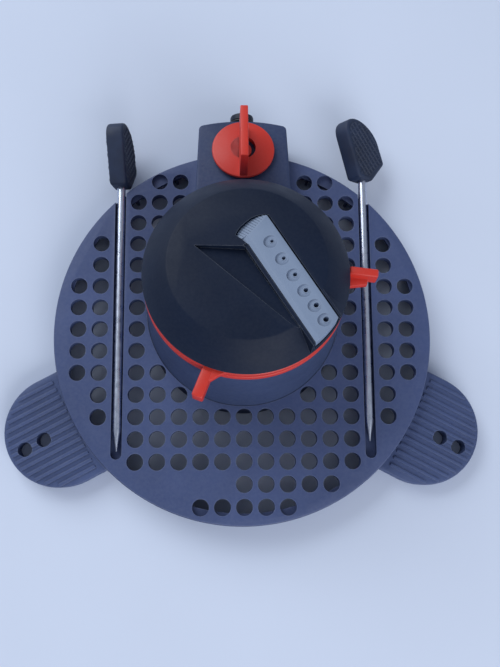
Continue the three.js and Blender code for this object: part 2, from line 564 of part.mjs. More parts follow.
const headBaseR = RING_R - WALL - 1.5;
add(leaning, "head_base",
  cut(join(rod(headBaseR, HEAD_Z + 0.2, HEAD_BASE_TOP, 0, 0, ROUND), rod(13.2, DRUM_TOP + 6.4, HEAD_Z + 1, 0, 0, MEDIUM)),
    rod(TUBE_R + 0.1, DRUM_TOP, HEAD_Z + 9, 0, 0, MEDIUM),
    ...capScrews.map(([x, y]) => rod(SCREW_R + 0.2, HEAD_Z - 1, HEAD_Z + 9, x, y, 10))),
  BLACK);
capScrews.forEach(([x, y], i) => add(leaning, `cap_screw_${i + 1}`,
  join(rod(SCREW_HEAD_R, HEAD_Z - 1.6, HEAD_Z, x, y, 12), rod(SCREW_R - 0.2, HEAD_Z - 0.5, HEAD_Z + 8.5, x, y, 10)), STEEL));

function nozzleManifold() {
  const body = join(stripPlan(-1.8, 51.5, MANIFOLD_Z, STRIP_BOTTOM - 0.9), rod(12.4, MANIFOLD_Z, STRIP_BOTTOM - 1.2, 0, 0, MEDIUM));
  const channel = stripPlan(-4, 49, MANIFOLD_Z + 1.4, STRIP_BOTTOM);
  const entry = rod(TUBE_BORE, MANIFOLD_Z - 1, STRIP_BOTTOM - 2.2, 0, 0, 24);
  return cut(body, channel, entry);
}
add(leaning, "nozzle_manifold", nozzleManifold(), INNER_WHITE);
add(leaning, "strip_gasket",
  cut(stripPlan(-1.8, 51.5, STRIP_BOTTOM - 0.7, STRIP_BOTTOM - 0.1), stripPlan(-4, 49, STRIP_BOTTOM - 2, STRIP_BOTTOM + 1)), RUBBER);

function nozzleStrip() {
  const holes = span(0, NOZZLES - 1).flatMap((i) => {
    const x = FIRST_NOZZLE + NOZZLE_STEP * i - NOZZLE_CLOSING * i * (i - 1);
    const r = NOZZLE_R[0] + ((NOZZLE_R[1] - NOZZLE_R[0]) * i) / (NOZZLES - 1);
    const top = HEAD_TOP + 0.3;
    return [
      rod(r, STRIP_BOTTOM - 1, top + 1, x, STRIP_LINE, 8),
      new THREE.CylinderGeometry(3, 3, 4, 14).rotateX(Math.PI / 2 - rad(14)).translate(x, STRIP_LINE + 0.8, top + 1.3),
    ].map(alongStrip);
  });
  const bevel = alongStrip(new THREE.BoxGeometry(90, 6, 6).rotateX(rad(-40)).translate(30, STRIP_FAR + 2.2, HEAD_TOP + 2.6));
  return cut(stripPlan(0, STRIP_R, STRIP_BOTTOM, HEAD_TOP + 0.3), bevel, ...holes);
}
add(leaning, "nozzle_strip", nozzleStrip(), LIGHT_GREY);

// ---------------------------------------------------------------- valve, knob and hose connection
const NIPPLE_START_Y = 107;
const BODY_Y = [73, 106.4];
const BODY_TOP = 21; // above the ground
function valveHousing() {
  return cut(boxBody(0, BOX_TOP), boxBody(-WALL, BOX_TOP - WALL), drumBody(GAP), toLeaning(belowFloor(0)),
    rod(SPOOL_R - 3.2, 0, BOX_TOP + 1, 0, KNOB_Y, 24), toLeaning(rodY(NIPPLE_R + GAP, 95, 120, 0, WATER_Z)));
}
add(leaning, "valve_housing", valveHousing(), ANTHRACITE);

const spoolFoot = -3.5;
const spoolHead = 17.6;
const stemR = SPOOL_R - 3.8;
const valveScrews = [[-9.4, 77.5], [9.4, 77.5]];
add(upright, "valve_body",
  cut(block(-13, 13, ...BODY_Y, FLOOR_TOP + GAP, BODY_TOP + 8),
    ...valveScrews.map(([x, y]) => rod(SCREW_R + 0.15, 0, 10.8, x, y, 10)),
    toRow(block(-20, 20, 60, 120, BOX_TOP - WALL - GAP, 60)),
    toRow(rod(SPOOL_R + 0.15, spoolFoot - 0.3, spoolHead + GAP, 0, KNOB_Y, MEDIUM)),
    toRow(rod(stemR + RUN, 10, 60, 0, KNOB_Y, 24)),
    toRow(rod(stemR + 2, BOX_TOP - WALL - 2.6, 60, 0, KNOB_Y, 24)),
    rodY(WATER_R, 60, 120, 0, WATER_Z)), INNER_WHITE);
add(leaning, "valve_spool",
  cut(join(rod(SPOOL_R, spoolFoot, spoolHead, 0, KNOB_Y, MEDIUM), rod(stemR, 10, BOX_TOP + 3, 0, KNOB_Y, 24)),
    toLeaning(rodY(WATER_R - 0.3, 60, 120, 0, WATER_Z))), LIGHT_GREY);
add(leaning, "stem_seal",
  tube(stemR + 1.8, stemR + 0.1, BOX_TOP - WALL - 2.4, BOX_TOP - WALL - 0.6, 24).translate(0, KNOB_Y, 0), RUBBER);

function flowKnob() {
  const z0 = BOX_TOP + GAP;
  const z1 = z0 + KNOB_THICK;
  const disc = turned([[0, z0], [KNOB_R - 0.8, z0], [KNOB_R, z0 + 0.8], [KNOB_R, z1 - 0.8], [KNOB_R - 0.8, z1], [0, z1]], ROUND)
    .translate(0, KNOB_Y, 0);
  const [front, back] = FIN_ENDS;
  const lean = Math.tan(rad(4));
  const side = [[front, z1 - 1], [back, z1 - 1], [back - FIN_HEIGHT * lean, z1 + FIN_HEIGHT], [front + 0.6, z1 + FIN_HEIGHT]];
  const fin = plate(side, -FIN_THICK / 2, FIN_THICK / 2).rotateX(Math.PI / 2).rotateZ(Math.PI / 2).translate(0, KNOB_Y, 0);
  const eye = rod(EYE_R, z1 - 2.6, z1 + 2.4, 0, KNOB_Y + 1, MEDIUM);
  const socket = rod(stemR + 0.05, z0 - 1, BOX_TOP + 3.1, 0, KNOB_Y, 24);
  const hub = rod(stemR + 1.6, z0, z1 + 1.4, 0, KNOB_Y, 24);
  return cut(join(cut(join(disc, fin), eye), hub), socket);
}
add(leaning, "flow_knob", flowKnob(), ORANGE);

const duct = (y0, y1) => cut(rodY(WATER_R + 1.8, y0, y1, 0, WATER_Z), rodY(WATER_R, y0 - 1, y1 + 1, 0, WATER_Z));
add(upright, "inlet_duct", duct(POT_R - 3, BODY_Y[0] - GAP), BLACK);

const ORING_Y = 119.2;
const COLLAR_Y = [113.2, 115.4];
function hoseNipple() {
  const profile = [
    [WATER_R, NIPPLE_START_Y], [NIPPLE_R, NIPPLE_START_Y], [NIPPLE_R, COLLAR_Y[0]], [NIPPLE_R + 2.6, COLLAR_Y[0]],
    [NIPPLE_R + 2.6, COLLAR_Y[1]], [NIPPLE_R, COLLAR_Y[1]], [NIPPLE_R, ORING_Y - 1.3], [NIPPLE_R - 1.4, ORING_Y - 1.3],
    [NIPPLE_R - 1.4, ORING_Y + 1.3], [NIPPLE_R, ORING_Y + 1.3], [NIPPLE_R, NIPPLE_END_Y - 1],
    [NIPPLE_R - 0.8, NIPPLE_END_Y], [WATER_R, NIPPLE_END_Y],
  ];
  return alongY(turned(profile, MEDIUM), 0, WATER_Z);
}
add(upright, "hose_nipple", hoseNipple(), BLACK);
add(upright, "nipple_oring",
  new THREE.TorusGeometry(NIPPLE_R - 0.3, 0.85, 6, 20).rotateX(Math.PI / 2).translate(0, ORING_Y, WATER_Z), RUBBER);
add(upright, "inlet_strainer",
  alongY(turned([
    [WATER_R - 0.3, NIPPLE_END_Y - 1], [WATER_R - 0.3, NIPPLE_END_Y - 0.2], [WATER_R - 1.2, NIPPLE_END_Y - 0.2],
    [WATER_R - 2, NIPPLE_END_Y - 9], [0.6, NIPPLE_END_Y - 9], [0.6, NIPPLE_END_Y - 9.8], [WATER_R - 1.4, NIPPLE_END_Y - 9.8],
  ], 20), 0, WATER_Z), STEEL);
add(upright, "valve_cover",
  cut(common(toRow(boxBody(-WALL - GAP, 30)), block(-40, 40, 62, 106, GAP, FLOOR_TOP)),
    ...valveScrews.flatMap(([x, y]) => [rod(SCREW_R + 0.2, -1, 4, x, y, 10), rod(SCREW_HEAD_R + 0.2, -1, 1.9, x, y, 12)])),
  BLACK);
valveScrews.forEach(([x, y], i) => add(upright, `valve_screw_${i + 1}`, screw(x, y, GAP, 10), STEEL));

// ---------------------------------------------------------------- ground stakes
function stakeRod(tipY) {
  const point = turned([[0, 0], [STAKE_R, STAKE_POINT], [STAKE_R, STAKE_BARE + STAKE_IN_GRIP], [0, STAKE_BARE + STAKE_IN_GRIP]], 14);
  return alongY(point, 0, 0).translate(0, tipY, 0);
}
// The grip's broad outline: x across, y along the stake, leaning over to one side.
function stakeGrip() {
  const half = GRIP_WIDTH / 2;
  const shift = Math.tan(rad(GRIP_LEAN_DEG));
  const end = circle(1, 11, 0, 0, 0, Math.PI).map(([x, y]) => [GRIP_OFFSET + half * x, GRIP_LENGTH - GRIP_ROUND * (1 - y)]);
  const outline = [[GRIP_FOOT[0], -0.8], [GRIP_FOOT[1], -0.8], [GRIP_OFFSET + half, GRIP_CHAMFER], ...end]
    .map(([x, y]) => [x - y * shift, y]);
  const body = plate(outline, -GRIP_THICK / 2, GRIP_THICK / 2);
  return cut(body, rodY(STAKE_R + 0.15, -5, STAKE_IN_GRIP + GAP, 0, 0, 14));
}
Object.entries(STAKE_TIPS_Y).forEach(([side, tipY]) => {
  const stake = new THREE.Group();
  stake.position.set(side === "left" ? -STAKE_X : STAKE_X, 0, STAKE_Z);
  upright.add(stake);
  add(stake, `stake_rod_${side}`, stakeRod(tipY), STEEL);
  const grip = add(stake, `stake_grip_${side}`, stakeGrip(), ANTHRACITE);
  grip.position.y = tipY + STAKE_BARE;
  grip.rotation.y = rad(GRIP_TURN_DEG[side]);
});

export default sprinkler;
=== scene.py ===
"""The visual model of a turret lawn sprinkler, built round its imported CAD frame.

The frame is in metres, with +X to the right, +Y towards the hose and +Z up. The turret, its rings, its head and the
flow valve stand in a frame of their own that leans back by LEAN degrees, and their sizes are given in it. Sizes are in
millimetres until a piece is finished, when it is scaled to metres. The studio and the materials are in metres.
"""

import logging
import math
from collections.abc import Iterable, Sequence
from dataclasses import dataclass, field
from enum import Enum

import bmesh
import bpy
from mathutils import Matrix, Vector


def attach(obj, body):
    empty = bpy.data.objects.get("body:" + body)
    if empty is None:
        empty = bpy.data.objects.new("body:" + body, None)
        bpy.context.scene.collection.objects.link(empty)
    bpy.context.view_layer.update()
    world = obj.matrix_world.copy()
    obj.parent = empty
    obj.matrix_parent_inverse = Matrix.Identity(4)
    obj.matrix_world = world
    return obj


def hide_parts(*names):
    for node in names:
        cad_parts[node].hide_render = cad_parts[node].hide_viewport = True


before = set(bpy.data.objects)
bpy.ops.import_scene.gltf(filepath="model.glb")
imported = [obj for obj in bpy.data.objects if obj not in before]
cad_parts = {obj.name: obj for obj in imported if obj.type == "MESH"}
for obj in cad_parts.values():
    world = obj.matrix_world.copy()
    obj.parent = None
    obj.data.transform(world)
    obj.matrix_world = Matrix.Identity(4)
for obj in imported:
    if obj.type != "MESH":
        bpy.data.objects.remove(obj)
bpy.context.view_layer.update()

LOG = logging.getLogger("sprinkler")
MM = 0.001
LEAN = 8.0
DECK_TOP = 20.0
GAP = 0.3
FINE = 192
Point = tuple[float, float]
Triple = tuple[float, float, float]
Solid = bpy.types.Object
Socket = bpy.types.NodeSocket


class Cut(Enum):
    """What a Boolean does with its tool."""

    AWAY = "DIFFERENCE"
    JOIN = "UNION"
    KEEP = "INTERSECT"


class Stand(Enum):
    """How a piece stands in the row frame."""

    UPRIGHT = "upright"
    LEANING = "leaning"


class Side(Enum):
    """The two sides of the sprinkler, with the sign of X on each."""

    LEFT = -1
    RIGHT = 1

    @property
    def word(self) -> str:
        """The side's name in lower case."""
        return self.name.lower()


def shift(x: float, y: float, z: float) -> Matrix:
    """A move along the three axes."""
    return Matrix.Translation((x, y, z))


def about(degrees: float, axis: str = "Z") -> Matrix:
    """A turn about one axis."""
    return Matrix.Rotation(math.radians(degrees), 4, axis)


def along_y(x: float, z: float) -> Matrix:
    """Lays an upright piece down, its axis along +Y."""
    return shift(x, 0, z) @ about(-90, "X")


def lean_matrix() -> Matrix:
    """The leaning frame's place in the row frame, in millimetres."""
    return shift(0, 0, DECK_TOP) @ about(-LEAN, "X")


def linear(value: float) -> float:
    """One sRGB channel from 0 to 255, as linear light."""
    share = value / 255
    return share / 12.92 if share <= 0.04045 else ((share + 0.055) / 1.055) ** 2.4


def colour(shade: Triple) -> Vector:
    """A linear colour from its three sRGB channels, each 0 to 255."""
    return Vector([linear(value) for value in shade])


# ---------------------------------------------------------------- finishes
class Nodes:
    """A small builder for one material's node tree."""

    def __init__(self, name: str) -> None:
        """Starts a material with an empty Principled shader.

        Args:
            name: the material's name.
        """
        self.material = bpy.data.materials.new(name)
        self.material.use_nodes = True
        self.tree = self.material.node_tree
        self.shader = self.tree.nodes["Principled BSDF"]
        self.place = self.add("ShaderNodeTexCoord").outputs["Object"]

    def add(self, kind: str, **values: object) -> bpy.types.Node:
        """Adds a node.

        Args:
            kind: the node's type name.
            **values: attributes, or inputs by their name with spaces written as underscores.

        Returns:
            The new node.
        """
        node = self.tree.nodes.new(kind)
        for key, value in values.items():
            if hasattr(node, key):
                setattr(node, key, value)
            else:
                node.inputs[key.replace("_", " ")].default_value = value
        return node

    def link(self, out: Socket, into: Socket) -> None:
        """Joins an output to an input."""
        self.tree.links.new(out, into)

    def noise(self, scale: float, detail: float, stretch: Triple = (1, 1, 1)) -> Socket:
        """Noise on the piece's own coordinates.

        Args:
            scale: how many features there are in a metre.
            detail: how many finer layers the noise has.
            stretch: the scale along each axis.

        Returns:
            The noise's value.
        """
        mapping = self.add("ShaderNodeMapping")
        mapping.inputs["Scale"].default_value = stretch
        self.link(self.place, mapping.inputs["Vector"])
        noise = self.add("ShaderNodeTexNoise", Scale=scale, Detail=detail)
        self.link(mapping.outputs["Vector"], noise.inputs["Vector"])
        return noise.outputs["Fac"]

    def shades(self, fac: Socket, base: Vector, low: float, high: float, start: float = 0.3) -> Socket:
        """Spreads a noise's middle range over two shades of one colour.

        Args:
            fac: the noise.
            base: the colour.
            low: the first shade's share of it.
            high: the second shade's share of it.
            start: where the middle range starts.

        Returns:
            The shade.
        """
        ramp = self.add("ShaderNodeValToRGB")
        for element, position, share in zip(ramp.color_ramp.elements, (start, 1 - start), (low, high)):
            element.position, element.color = position, (*(base * share), 1)
        self.link(fac, ramp.inputs["Fac"])
        return ramp.outputs["Color"]

    def spread(self, fac: Socket, low: float, high: float) -> Socket:
        """Spreads a noise's middle range over other limits.

        Args:
            fac: the noise.
            low: the first limit.
            high: the other limit.

        Returns:
            The spread value.
        """
        node = self.add("ShaderNodeMapRange", From_Min=0.3, From_Max=0.7, To_Min=low, To_Max=high)
        self.link(fac, node.inputs["Value"])
        return node.outputs["Result"]

    def mix(self, fac: Socket, first: Socket, second: Vector) -> Socket:
        """Mixes a fixed colour into another, by a share.

        Args:
            fac: the share of the fixed colour.
            first: the other colour.
            second: the fixed colour.

        Returns:
            The mixed colour.
        """
        node = self.add("ShaderNodeMix", data_type="RGBA")
        self.link(fac, node.inputs[0])
        self.link(first, node.inputs[6])
        node.inputs[7].default_value = (*second, 1)
        return node.outputs[2]

    def edges(self, radius: float) -> Socket:
        """How much a spot is an edge, from the angle between its bevelled and its true normal.

        Args:
            radius: how far from the edge it reaches, in metres.

        Returns:
            0 on flat ground, up to 1 on an edge.
        """
        bevel = self.add("ShaderNodeBevel", samples=4, Radius=radius)
        dot = self.add("ShaderNodeVectorMath", operation="DOT_PRODUCT")
        self.link(bevel.outputs["Normal"], dot.inputs[0])
        self.link(self.add("ShaderNodeNewGeometry").outputs["Normal"], dot.inputs[1])
        node = self.add("ShaderNodeMapRange", From_Min=0.995, From_Max=0.86, To_Min=0.0, To_Max=1.0)
        self.link(dot.outputs["Value"], node.inputs["Value"])
        return node.outputs["Result"]

    def bump(self, layers: Sequence[tuple[Socket, float]]) -> None:
        """Stacks bump layers under the shader.

        Args:
            layers: pairs of height and depth in metres.
        """
        normal = None
        for height, depth in layers:
            node = self.add("ShaderNodeBump", Distance=depth, Strength=1.0)
            self.link(height, node.inputs["Height"])
            if normal is not None:
                self.link(normal, node.inputs["Normal"])
            normal = node.outputs["Normal"]
        self.link(normal, self.shader.inputs["Normal"])

    def finish(self, base: Socket, rough: Socket) -> bpy.types.Material:
        """Joins colour and roughness to the shader and returns the material.

        Args:
            base: the colour.
            rough: the roughness.

        Returns:
            The material.
        """
        self.link(base, self.shader.inputs["Base Color"])
        self.link(rough, self.shader.inputs["Roughness"])
        return self.material


# How many features each layer of noise has in a metre.
CLOUDS, PATCHES, SCUFFS_AND_HIGHLIGHT, STREAKS, FLECKS, GRAIN = 28, 75, 160, 420, 620, 2200
PITS, DRAWN_LINES = 1700, 2600
# A pale colour for the dust flecks and for the painted edge highlight on moulded plastic.
PALE_DUST_AND_HIGHLIGHT = Vector((0.55, 0.6, 0.66))
# A grey for the edges of rubber: partly rubbed wear, partly a painted highlight.
GREY_EDGE_WEAR_AND_HIGHLIGHT = Vector((0.3, 0.32, 0.36))
STAIN = Vector((0.62, 0.52, 0.47))


@dataclass(frozen=True)
class Moulded:
    """Moulded plastic with a spark-eroded grain, slight clouding, pale dust flecks, and edges lightened partly as
    scuffed wear and partly as a painted highlight.
    """

    name: str
    slot: str
    shade: Triple
    rough: float = 0.5
    grain_depth: float = 0.00004
    clouding: float = 0.1
    edge_highlight_and_wear: float = 0.25
    dust: float = 0.05
    shine: float = 0.36

    def make(self) -> bpy.types.Material:
        """Builds the material."""
        nodes = Nodes(self.name)
        nodes.shader.inputs["Specular IOR Level"].default_value = self.shine
        base = colour(self.shade)
        clouds = nodes.shades(nodes.noise(CLOUDS, 4), base, 1 - self.clouding, 1 + self.clouding)
        fleck = nodes.spread(nodes.noise(FLECKS, 2), 0.0, self.dust)
        pale = base.lerp(PALE_DUST_AND_HIGHLIGHT, 0.55)
        flecked = nodes.mix(fleck, clouds, pale)
        # The edges are lightened towards the pale colour where the scuff noise is high: partly rubbed wear, partly a
        # painted highlight.
        highlit_and_worn = nodes.add("ShaderNodeMath", operation="MULTIPLY")
        nodes.link(nodes.edges(0.0006), highlit_and_worn.inputs[0])
        nodes.link(nodes.spread(nodes.noise(SCUFFS_AND_HIGHLIGHT, 3), self.edge_highlight_and_wear * 0.5, self.edge_highlight_and_wear * 1.5), highlit_and_worn.inputs[1])
        edge_highlit = nodes.mix(highlit_and_worn.outputs[0], flecked, pale)
        rough = nodes.spread(nodes.noise(PATCHES, 5), self.rough - 0.06, self.rough + 0.06)
        nodes.bump([
            (nodes.noise(GRAIN, 2), self.grain_depth),
            (nodes.noise(STREAKS, 3, (1, 0.12, 1)), self.grain_depth * 0.5),
        ])
        return nodes.finish(edge_highlit, rough)


@dataclass(frozen=True)
class Rubbery:
    """Dull soft plastic or rubber with a fine pitted surface, its edges lightened towards grey, partly as rubbed wear
    and partly as a painted highlight.
    """

    name: str
    slot: str
    shade: Triple
    rough: float = 0.62

    def make(self) -> bpy.types.Material:
        """Builds the material."""
        nodes = Nodes(self.name)
        base = colour(self.shade)
        clouds = nodes.shades(nodes.noise(90, 4), base, 0.8, 1.25)
        # Painted highlight, partly wear: the edges are lightened towards grey.
        edge_highlight_and_wear = nodes.spread(nodes.edges(0.0005), 0.0, 0.12)
        highlit_and_worn = nodes.mix(edge_highlight_and_wear, clouds, base.lerp(GREY_EDGE_WEAR_AND_HIGHLIGHT, 0.6))
        nodes.bump([(nodes.noise(PITS, 3), 0.00005)])
        return nodes.finish(highlit_and_worn, nodes.spread(nodes.noise(140, 4), self.rough - 0.08, self.rough + 0.1))


@dataclass(frozen=True)
class DrawnSteel:
    """Drawn steel wire or turned steel, with fine lines along Y and a few darker stains."""

    name: str
    slot: str
    shade: Triple = (204, 212, 230)
    rough: float = 0.3
    along: Triple = (1, 0.02, 1)

    def make(self) -> bpy.types.Material:
        """Builds the material."""
        nodes = Nodes(self.name)
        base = colour(self.shade)
        nodes.shader.inputs["Metallic"].default_value = 1.0
        lines = nodes.noise(DRAWN_LINES, 2, self.along)
        brushed = nodes.shades(lines, base, 0.82, 1.08, 0.35)
        stain = nodes.spread(nodes.noise(70, 5, (1, 0.25, 1)), 0.0, 0.16)
        stained = nodes.mix(stain, brushed, base * STAIN)
        nodes.bump([(lines, 0.00002)])
        return nodes.finish(stained, nodes.spread(nodes.noise(240, 3), self.rough - 0.1, self.rough + 0.12))


DECK_FINISH = Moulded("anthracite deck", "anthracite", (60, 74, 115), rough=0.55)
# The skirt and the drum, with the valve housing, take darker copies of the deck's anthracite: the same plastic, with
# painted shade in its colour.
SKIRT_FINISH_SHADED = Moulded("shaded anthracite skirt", "anthracite", (54, 67, 106), rough=0.58)
WING_FINISH = Moulded("anthracite wing", "wing_anthracite", (62, 77, 118), rough=0.56)
DRUM_FINISH_SHADED = Moulded("shaded anthracite drum", "anthracite", (51, 64, 98), rough=0.52, shine=0.22)
HEAD_FINISH = Moulded("black head", "black", (18, 29, 50), grain_depth=0.00003, edge_highlight_and_wear=0.2, dust=0.012, shine=0.16)
BLACK_FINISH = Moulded("black fittings", "black", (22, 31, 50), rough=0.45, dust=0.015, shine=0.25)
ORANGE_FINISH = Moulded("orange controls", "orange", (204, 52, 40), rough=0.4, clouding=0.04, edge_highlight_and_wear=0.18, dust=0.02)
STRIP_FINISH = Moulded("grey nozzle strip", "light_grey", (124, 140, 166), rough=0.55, clouding=0.05, edge_highlight_and_wear=0.2,
                       dust=0.04)
PALE_FINISH = Moulded("pale gears", "inner_white", (214, 214, 205), rough=0.42, clouding=0.04, edge_highlight_and_wear=0.1, dust=0.02)
GREY_FINISH = Moulded("grey inner parts", "light_grey", (150, 158, 170), rough=0.45, clouding=0.05, edge_highlight_and_wear=0.1)
GRIP_FINISH = Rubbery("stake grips", "grip", (25, 39, 66))
SEAL_FINISH = Rubbery("black seals", "seal", (22, 23, 26), rough=0.5)
STEEL_FINISH = DrawnSteel("stake steel", "steel")
SCREW_FINISH = DrawnSteel("turned steel", "steel", (176, 178, 182), 0.34, (1, 1, 0.1))
Finish = Moulded | Rubbery | DrawnSteel


# ---------------------------------------------------------------- modelling
# Each function here starts from a clean selection, and its sizes are in millimetres.
MADE: dict[str, bpy.types.Material] = {}


def pick(*objects: Solid) -> None:
    """Selects only these objects and makes the first of them active.

    Args:
        *objects: the objects, or none to clear the selection.
    """
    if bpy.context.object and bpy.context.object.mode != "OBJECT":
        bpy.ops.object.mode_set(mode="OBJECT")
    bpy.ops.object.select_all(action="DESELECT")
    for item in objects:
        item.select_set(True)
    if objects:
        bpy.context.view_layer.objects.active = objects[0]


def named(name: str) -> Solid:
    """Names the object that was just added and settles its place in its mesh.

    Args:
        name: the new name.

    Returns:
        The object.
    """
    item = bpy.context.object
    item.name = item.data.name = name
    bpy.ops.object.transform_apply(location=True, rotation=True, scale=True)
    return item


def block(name: str, low: Triple, high: Triple) -> Solid:
    """A rectangular block between two corners.

    Args:
        name: the object's name.
        low: the corner with the smallest values.
        high: the opposite corner.

    Returns:
        The block.
    """
    pick()
    centre = [(a + b) / 2 for a, b in zip(low, high)]
    bpy.ops.mesh.primitive_cube_add(size=1, location=centre, scale=[b - a for a, b in zip(low, high)])
    return named(name)


def rod(name: str, radius: float, low: float, high: float, at: Point = (0, 0), sides: int = 48,
        top: float | None = None) -> Solid:
    """An upright rod or cone.

    Args:
        name: the object's name.
        radius: its radius, at the foot for a cone.
        low: the height of its foot.
        high: the height of its top.
        at: its axis in plan.
        sides: how many sides it has.
        top: the radius at the top, when that differs.

    Returns:
        The rod.
    """
    pick()
    bpy.ops.mesh.primitive_cone_add(vertices=sides, radius1=radius, radius2=radius if top is None else top,
                                    depth=high - low, location=(*at, (low + high) / 2))
    return named(name)


def turned(name: str, profile: Sequence[Point], sides: int = 96, at: Point = (0, 0)) -> Solid:
    """A turned piece, raised ring by ring from a circle.

    Args:
        name: the object's name.
        profile: pairs of radius and height. A first or last radius of 0 closes that end with a disc; with
            neither, the last ring joins the first.
        sides: how many sides it has.
        at: its axis in plan.

    Returns:
        The turned piece.
    """
    rings = [(r, z) for r, z in profile if r > 0]
    open_start, open_end = profile[0][0] > 0, profile[-1][0] > 0
    if open_start:
        rings.append(rings[0])
    pick()
    bpy.ops.mesh.primitive_circle_add(vertices=sides, radius=rings[0][0], location=(*at, rings[0][1]),
                                      fill_type="NOTHING" if open_start else "NGON")
    item = named(name)
    bpy.ops.object.mode_set(mode="EDIT")
    bpy.ops.mesh.select_all(action="SELECT")
    for (r0, z0), (r1, z1) in zip(rings, rings[1:]):
        bpy.ops.mesh.extrude_edges_move()
        bpy.ops.transform.resize(value=(r1 / r0, r1 / r0, 1), center_override=(*at, z0))
        bpy.ops.transform.translate(value=(0, 0, z1 - z0))
    if not open_end:
        bpy.ops.mesh.edge_face_add()
    close()
    return item


def edit(item: Solid) -> None:
    """Enters edit mode on one piece, ready to pick its points."""
    pick(item)
    bpy.ops.object.mode_set(mode="EDIT")
    bpy.ops.mesh.select_mode(type="VERT")


def close() -> None:
    """Merges doubles, turns the faces outwards and leaves edit mode."""
    bpy.ops.mesh.select_all(action="SELECT")
    bpy.ops.mesh.remove_doubles(threshold=0.001)
    bpy.ops.mesh.normals_make_consistent(inside=False)
    bpy.ops.object.mode_set(mode="OBJECT")


def shift_points(item: Solid, targets: Sequence[Vector]) -> None:
    """Moves each vertex of a primitive to its own place.

    Args:
        item: the active object, in edit mode.
        targets: the places, in the order of the vertices.
    """
    for index, target in enumerate(targets):
        mesh = bmesh.from_edit_mesh(item.data)
        mesh.verts.ensure_lookup_table()
        for vert in mesh.verts:
            vert.select_set(vert.index == index)
        mesh.select_flush_mode()
        step = target - mesh.verts[index].co
        bmesh.update_edit_mesh(item.data)
        bpy.ops.transform.translate(value=step)


def plate(name: str, outline: Sequence[Point], low: float, high: float) -> Solid:
    """A flat plate with any outline, raised from a disc whose points are moved to the outline.

    Args:
        name: the object's name.
        outline: its corners in plan.
        low: the height of its foot.
        high: the height of its top.

    Returns:
        The plate.
    """
    pick()
    bpy.ops.mesh.primitive_circle_add(vertices=len(outline), radius=1, fill_type="NGON", location=(0, 0, low))
    item = named(name)
    edit(item)
    shift_points(item, [Vector((x, y, low)) for x, y in outline])
    bpy.ops.mesh.select_mode(type="FACE")
    bpy.ops.mesh.select_all(action="SELECT")
    bpy.ops.mesh.extrude_region_move(TRANSFORM_OT_translate={"value": (0, 0, high - low)})
    bpy.ops.mesh.select_mode(type="VERT")
    close()
    return item


def wedge(name: str, corners: Sequence[Triple]) -> Solid:
    """A block with each of its eight corners in its own place.

    Args:
        name: the object's name.
        corners: the corners, in the order of a cube's vertices.

    Returns:
        The block.
    """
    pick()
    bpy.ops.mesh.primitive_cube_add(size=1)
    item = named(name)
    edit(item)
    shift_points(item, [Vector(corner) for corner in corners])
    close()
    return item


def modify(item: Solid, kind: str, **values: object) -> None:
    """Adds a modifier and applies it.

    Args:
        item: the piece.
        kind: the modifier's type name.
        **values: the modifier's settings.
    """
    pick(item)
    modifier = item.modifiers.new(kind.title(), kind)
    for key, value in values.items():
        setattr(modifier, key, value)
    bpy.ops.object.modifier_apply(modifier=modifier.name)


def combine(body: Solid, cut: Cut, *tools: Solid) -> Solid:
    """Joins, cuts or keeps what two solids share, and takes the tools away.

    Args:
        body: the solid that is changed.
        cut: what is done.
        *tools: the other solids, which are used up.

    Returns:
        The changed solid.
    """
    for tool in tools:
        modify(body, "BOOLEAN", operation=cut.value, object=tool, solver="EXACT")
        bpy.data.objects.remove(tool)
    return body


def cluster(name: str, first: Solid, places: Iterable[Matrix]) -> Solid:
    """Copies a piece to several places and makes the copies one object.

    Args:
        name: the new object's name.
        first: the piece, which is used up.
        places: where each copy stands.

    Returns:
        The cluster.
    """
    copies = []
    for spot in places:
        copy = first.copy()
        copy.data = first.data.copy()
        bpy.context.scene.collection.objects.link(copy)
        copy.data.transform(spot)
        copies.append(copy)
    bpy.data.objects.remove(first)
    pick(*copies)
    bpy.ops.object.join()
    item = bpy.context.object
    item.name = item.data.name = name
    return item


def place(item: Solid, matrix: Matrix) -> Solid:
    """Moves a piece and settles its place in its mesh.

    Args:
        item: the piece.
        matrix: the move.

    Returns:
        The piece.
    """
    pick(item)
    item.matrix_world = matrix @ item.matrix_world
    bpy.context.view_layer.update()
    bpy.ops.object.transform_apply(location=True, rotation=True, scale=True)
    return item


def soften(item: Solid, width: float, segments: int = 2, angle: float = 30.0) -> None:
    """Rounds the edges that are sharper than an angle.

    Args:
        item: the piece.
        width: the bevel's width.
        segments: how many faces the rounding has.
        angle: the smallest angle that counts as an edge, in degrees.
    """
    modify(item, "BEVEL", width=width, segments=segments, limit_method="ANGLE",
               angle_limit=math.radians(angle), use_clamp_overlap=True, harden_normals=False)


def dress(item: Solid, finish: Finish) -> None:
    """Gives a piece its finish.

    Args:
        item: the piece.
        finish: the finish.
    """
    if finish.name not in MADE:
        MADE[finish.name] = finish.make()
    item.data.materials.clear()
    item.data.materials.append(MADE[finish.name])


def hand_over(item: Solid, finish: Finish, body: str, replaced: Sequence[str],
              stand: Stand = Stand.UPRIGHT) -> None:
    """Finishes a piece: scales it to metres, smooths, dresses and mounts it.

    Args:
        item: the piece, in millimetres.
        finish: its finish.
        body: the CAD body that it rides on.
        replaced: the CAD nodes that it stands for.
        stand: the frame that it was modelled in.
    """
    matrix = lean_matrix() if stand is Stand.LEANING else Matrix.Identity(4)
    place(item, Matrix.Scale(MM, 4) @ matrix)
    pick(item)
    bpy.ops.object.shade_smooth_by_angle(angle=math.radians(32))
    dress(item, finish)
    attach(item, body)
    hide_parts(*replaced)
    LOG.info("%s: %d faces, rides on %s", item.name, len(item.data.polygons), body)


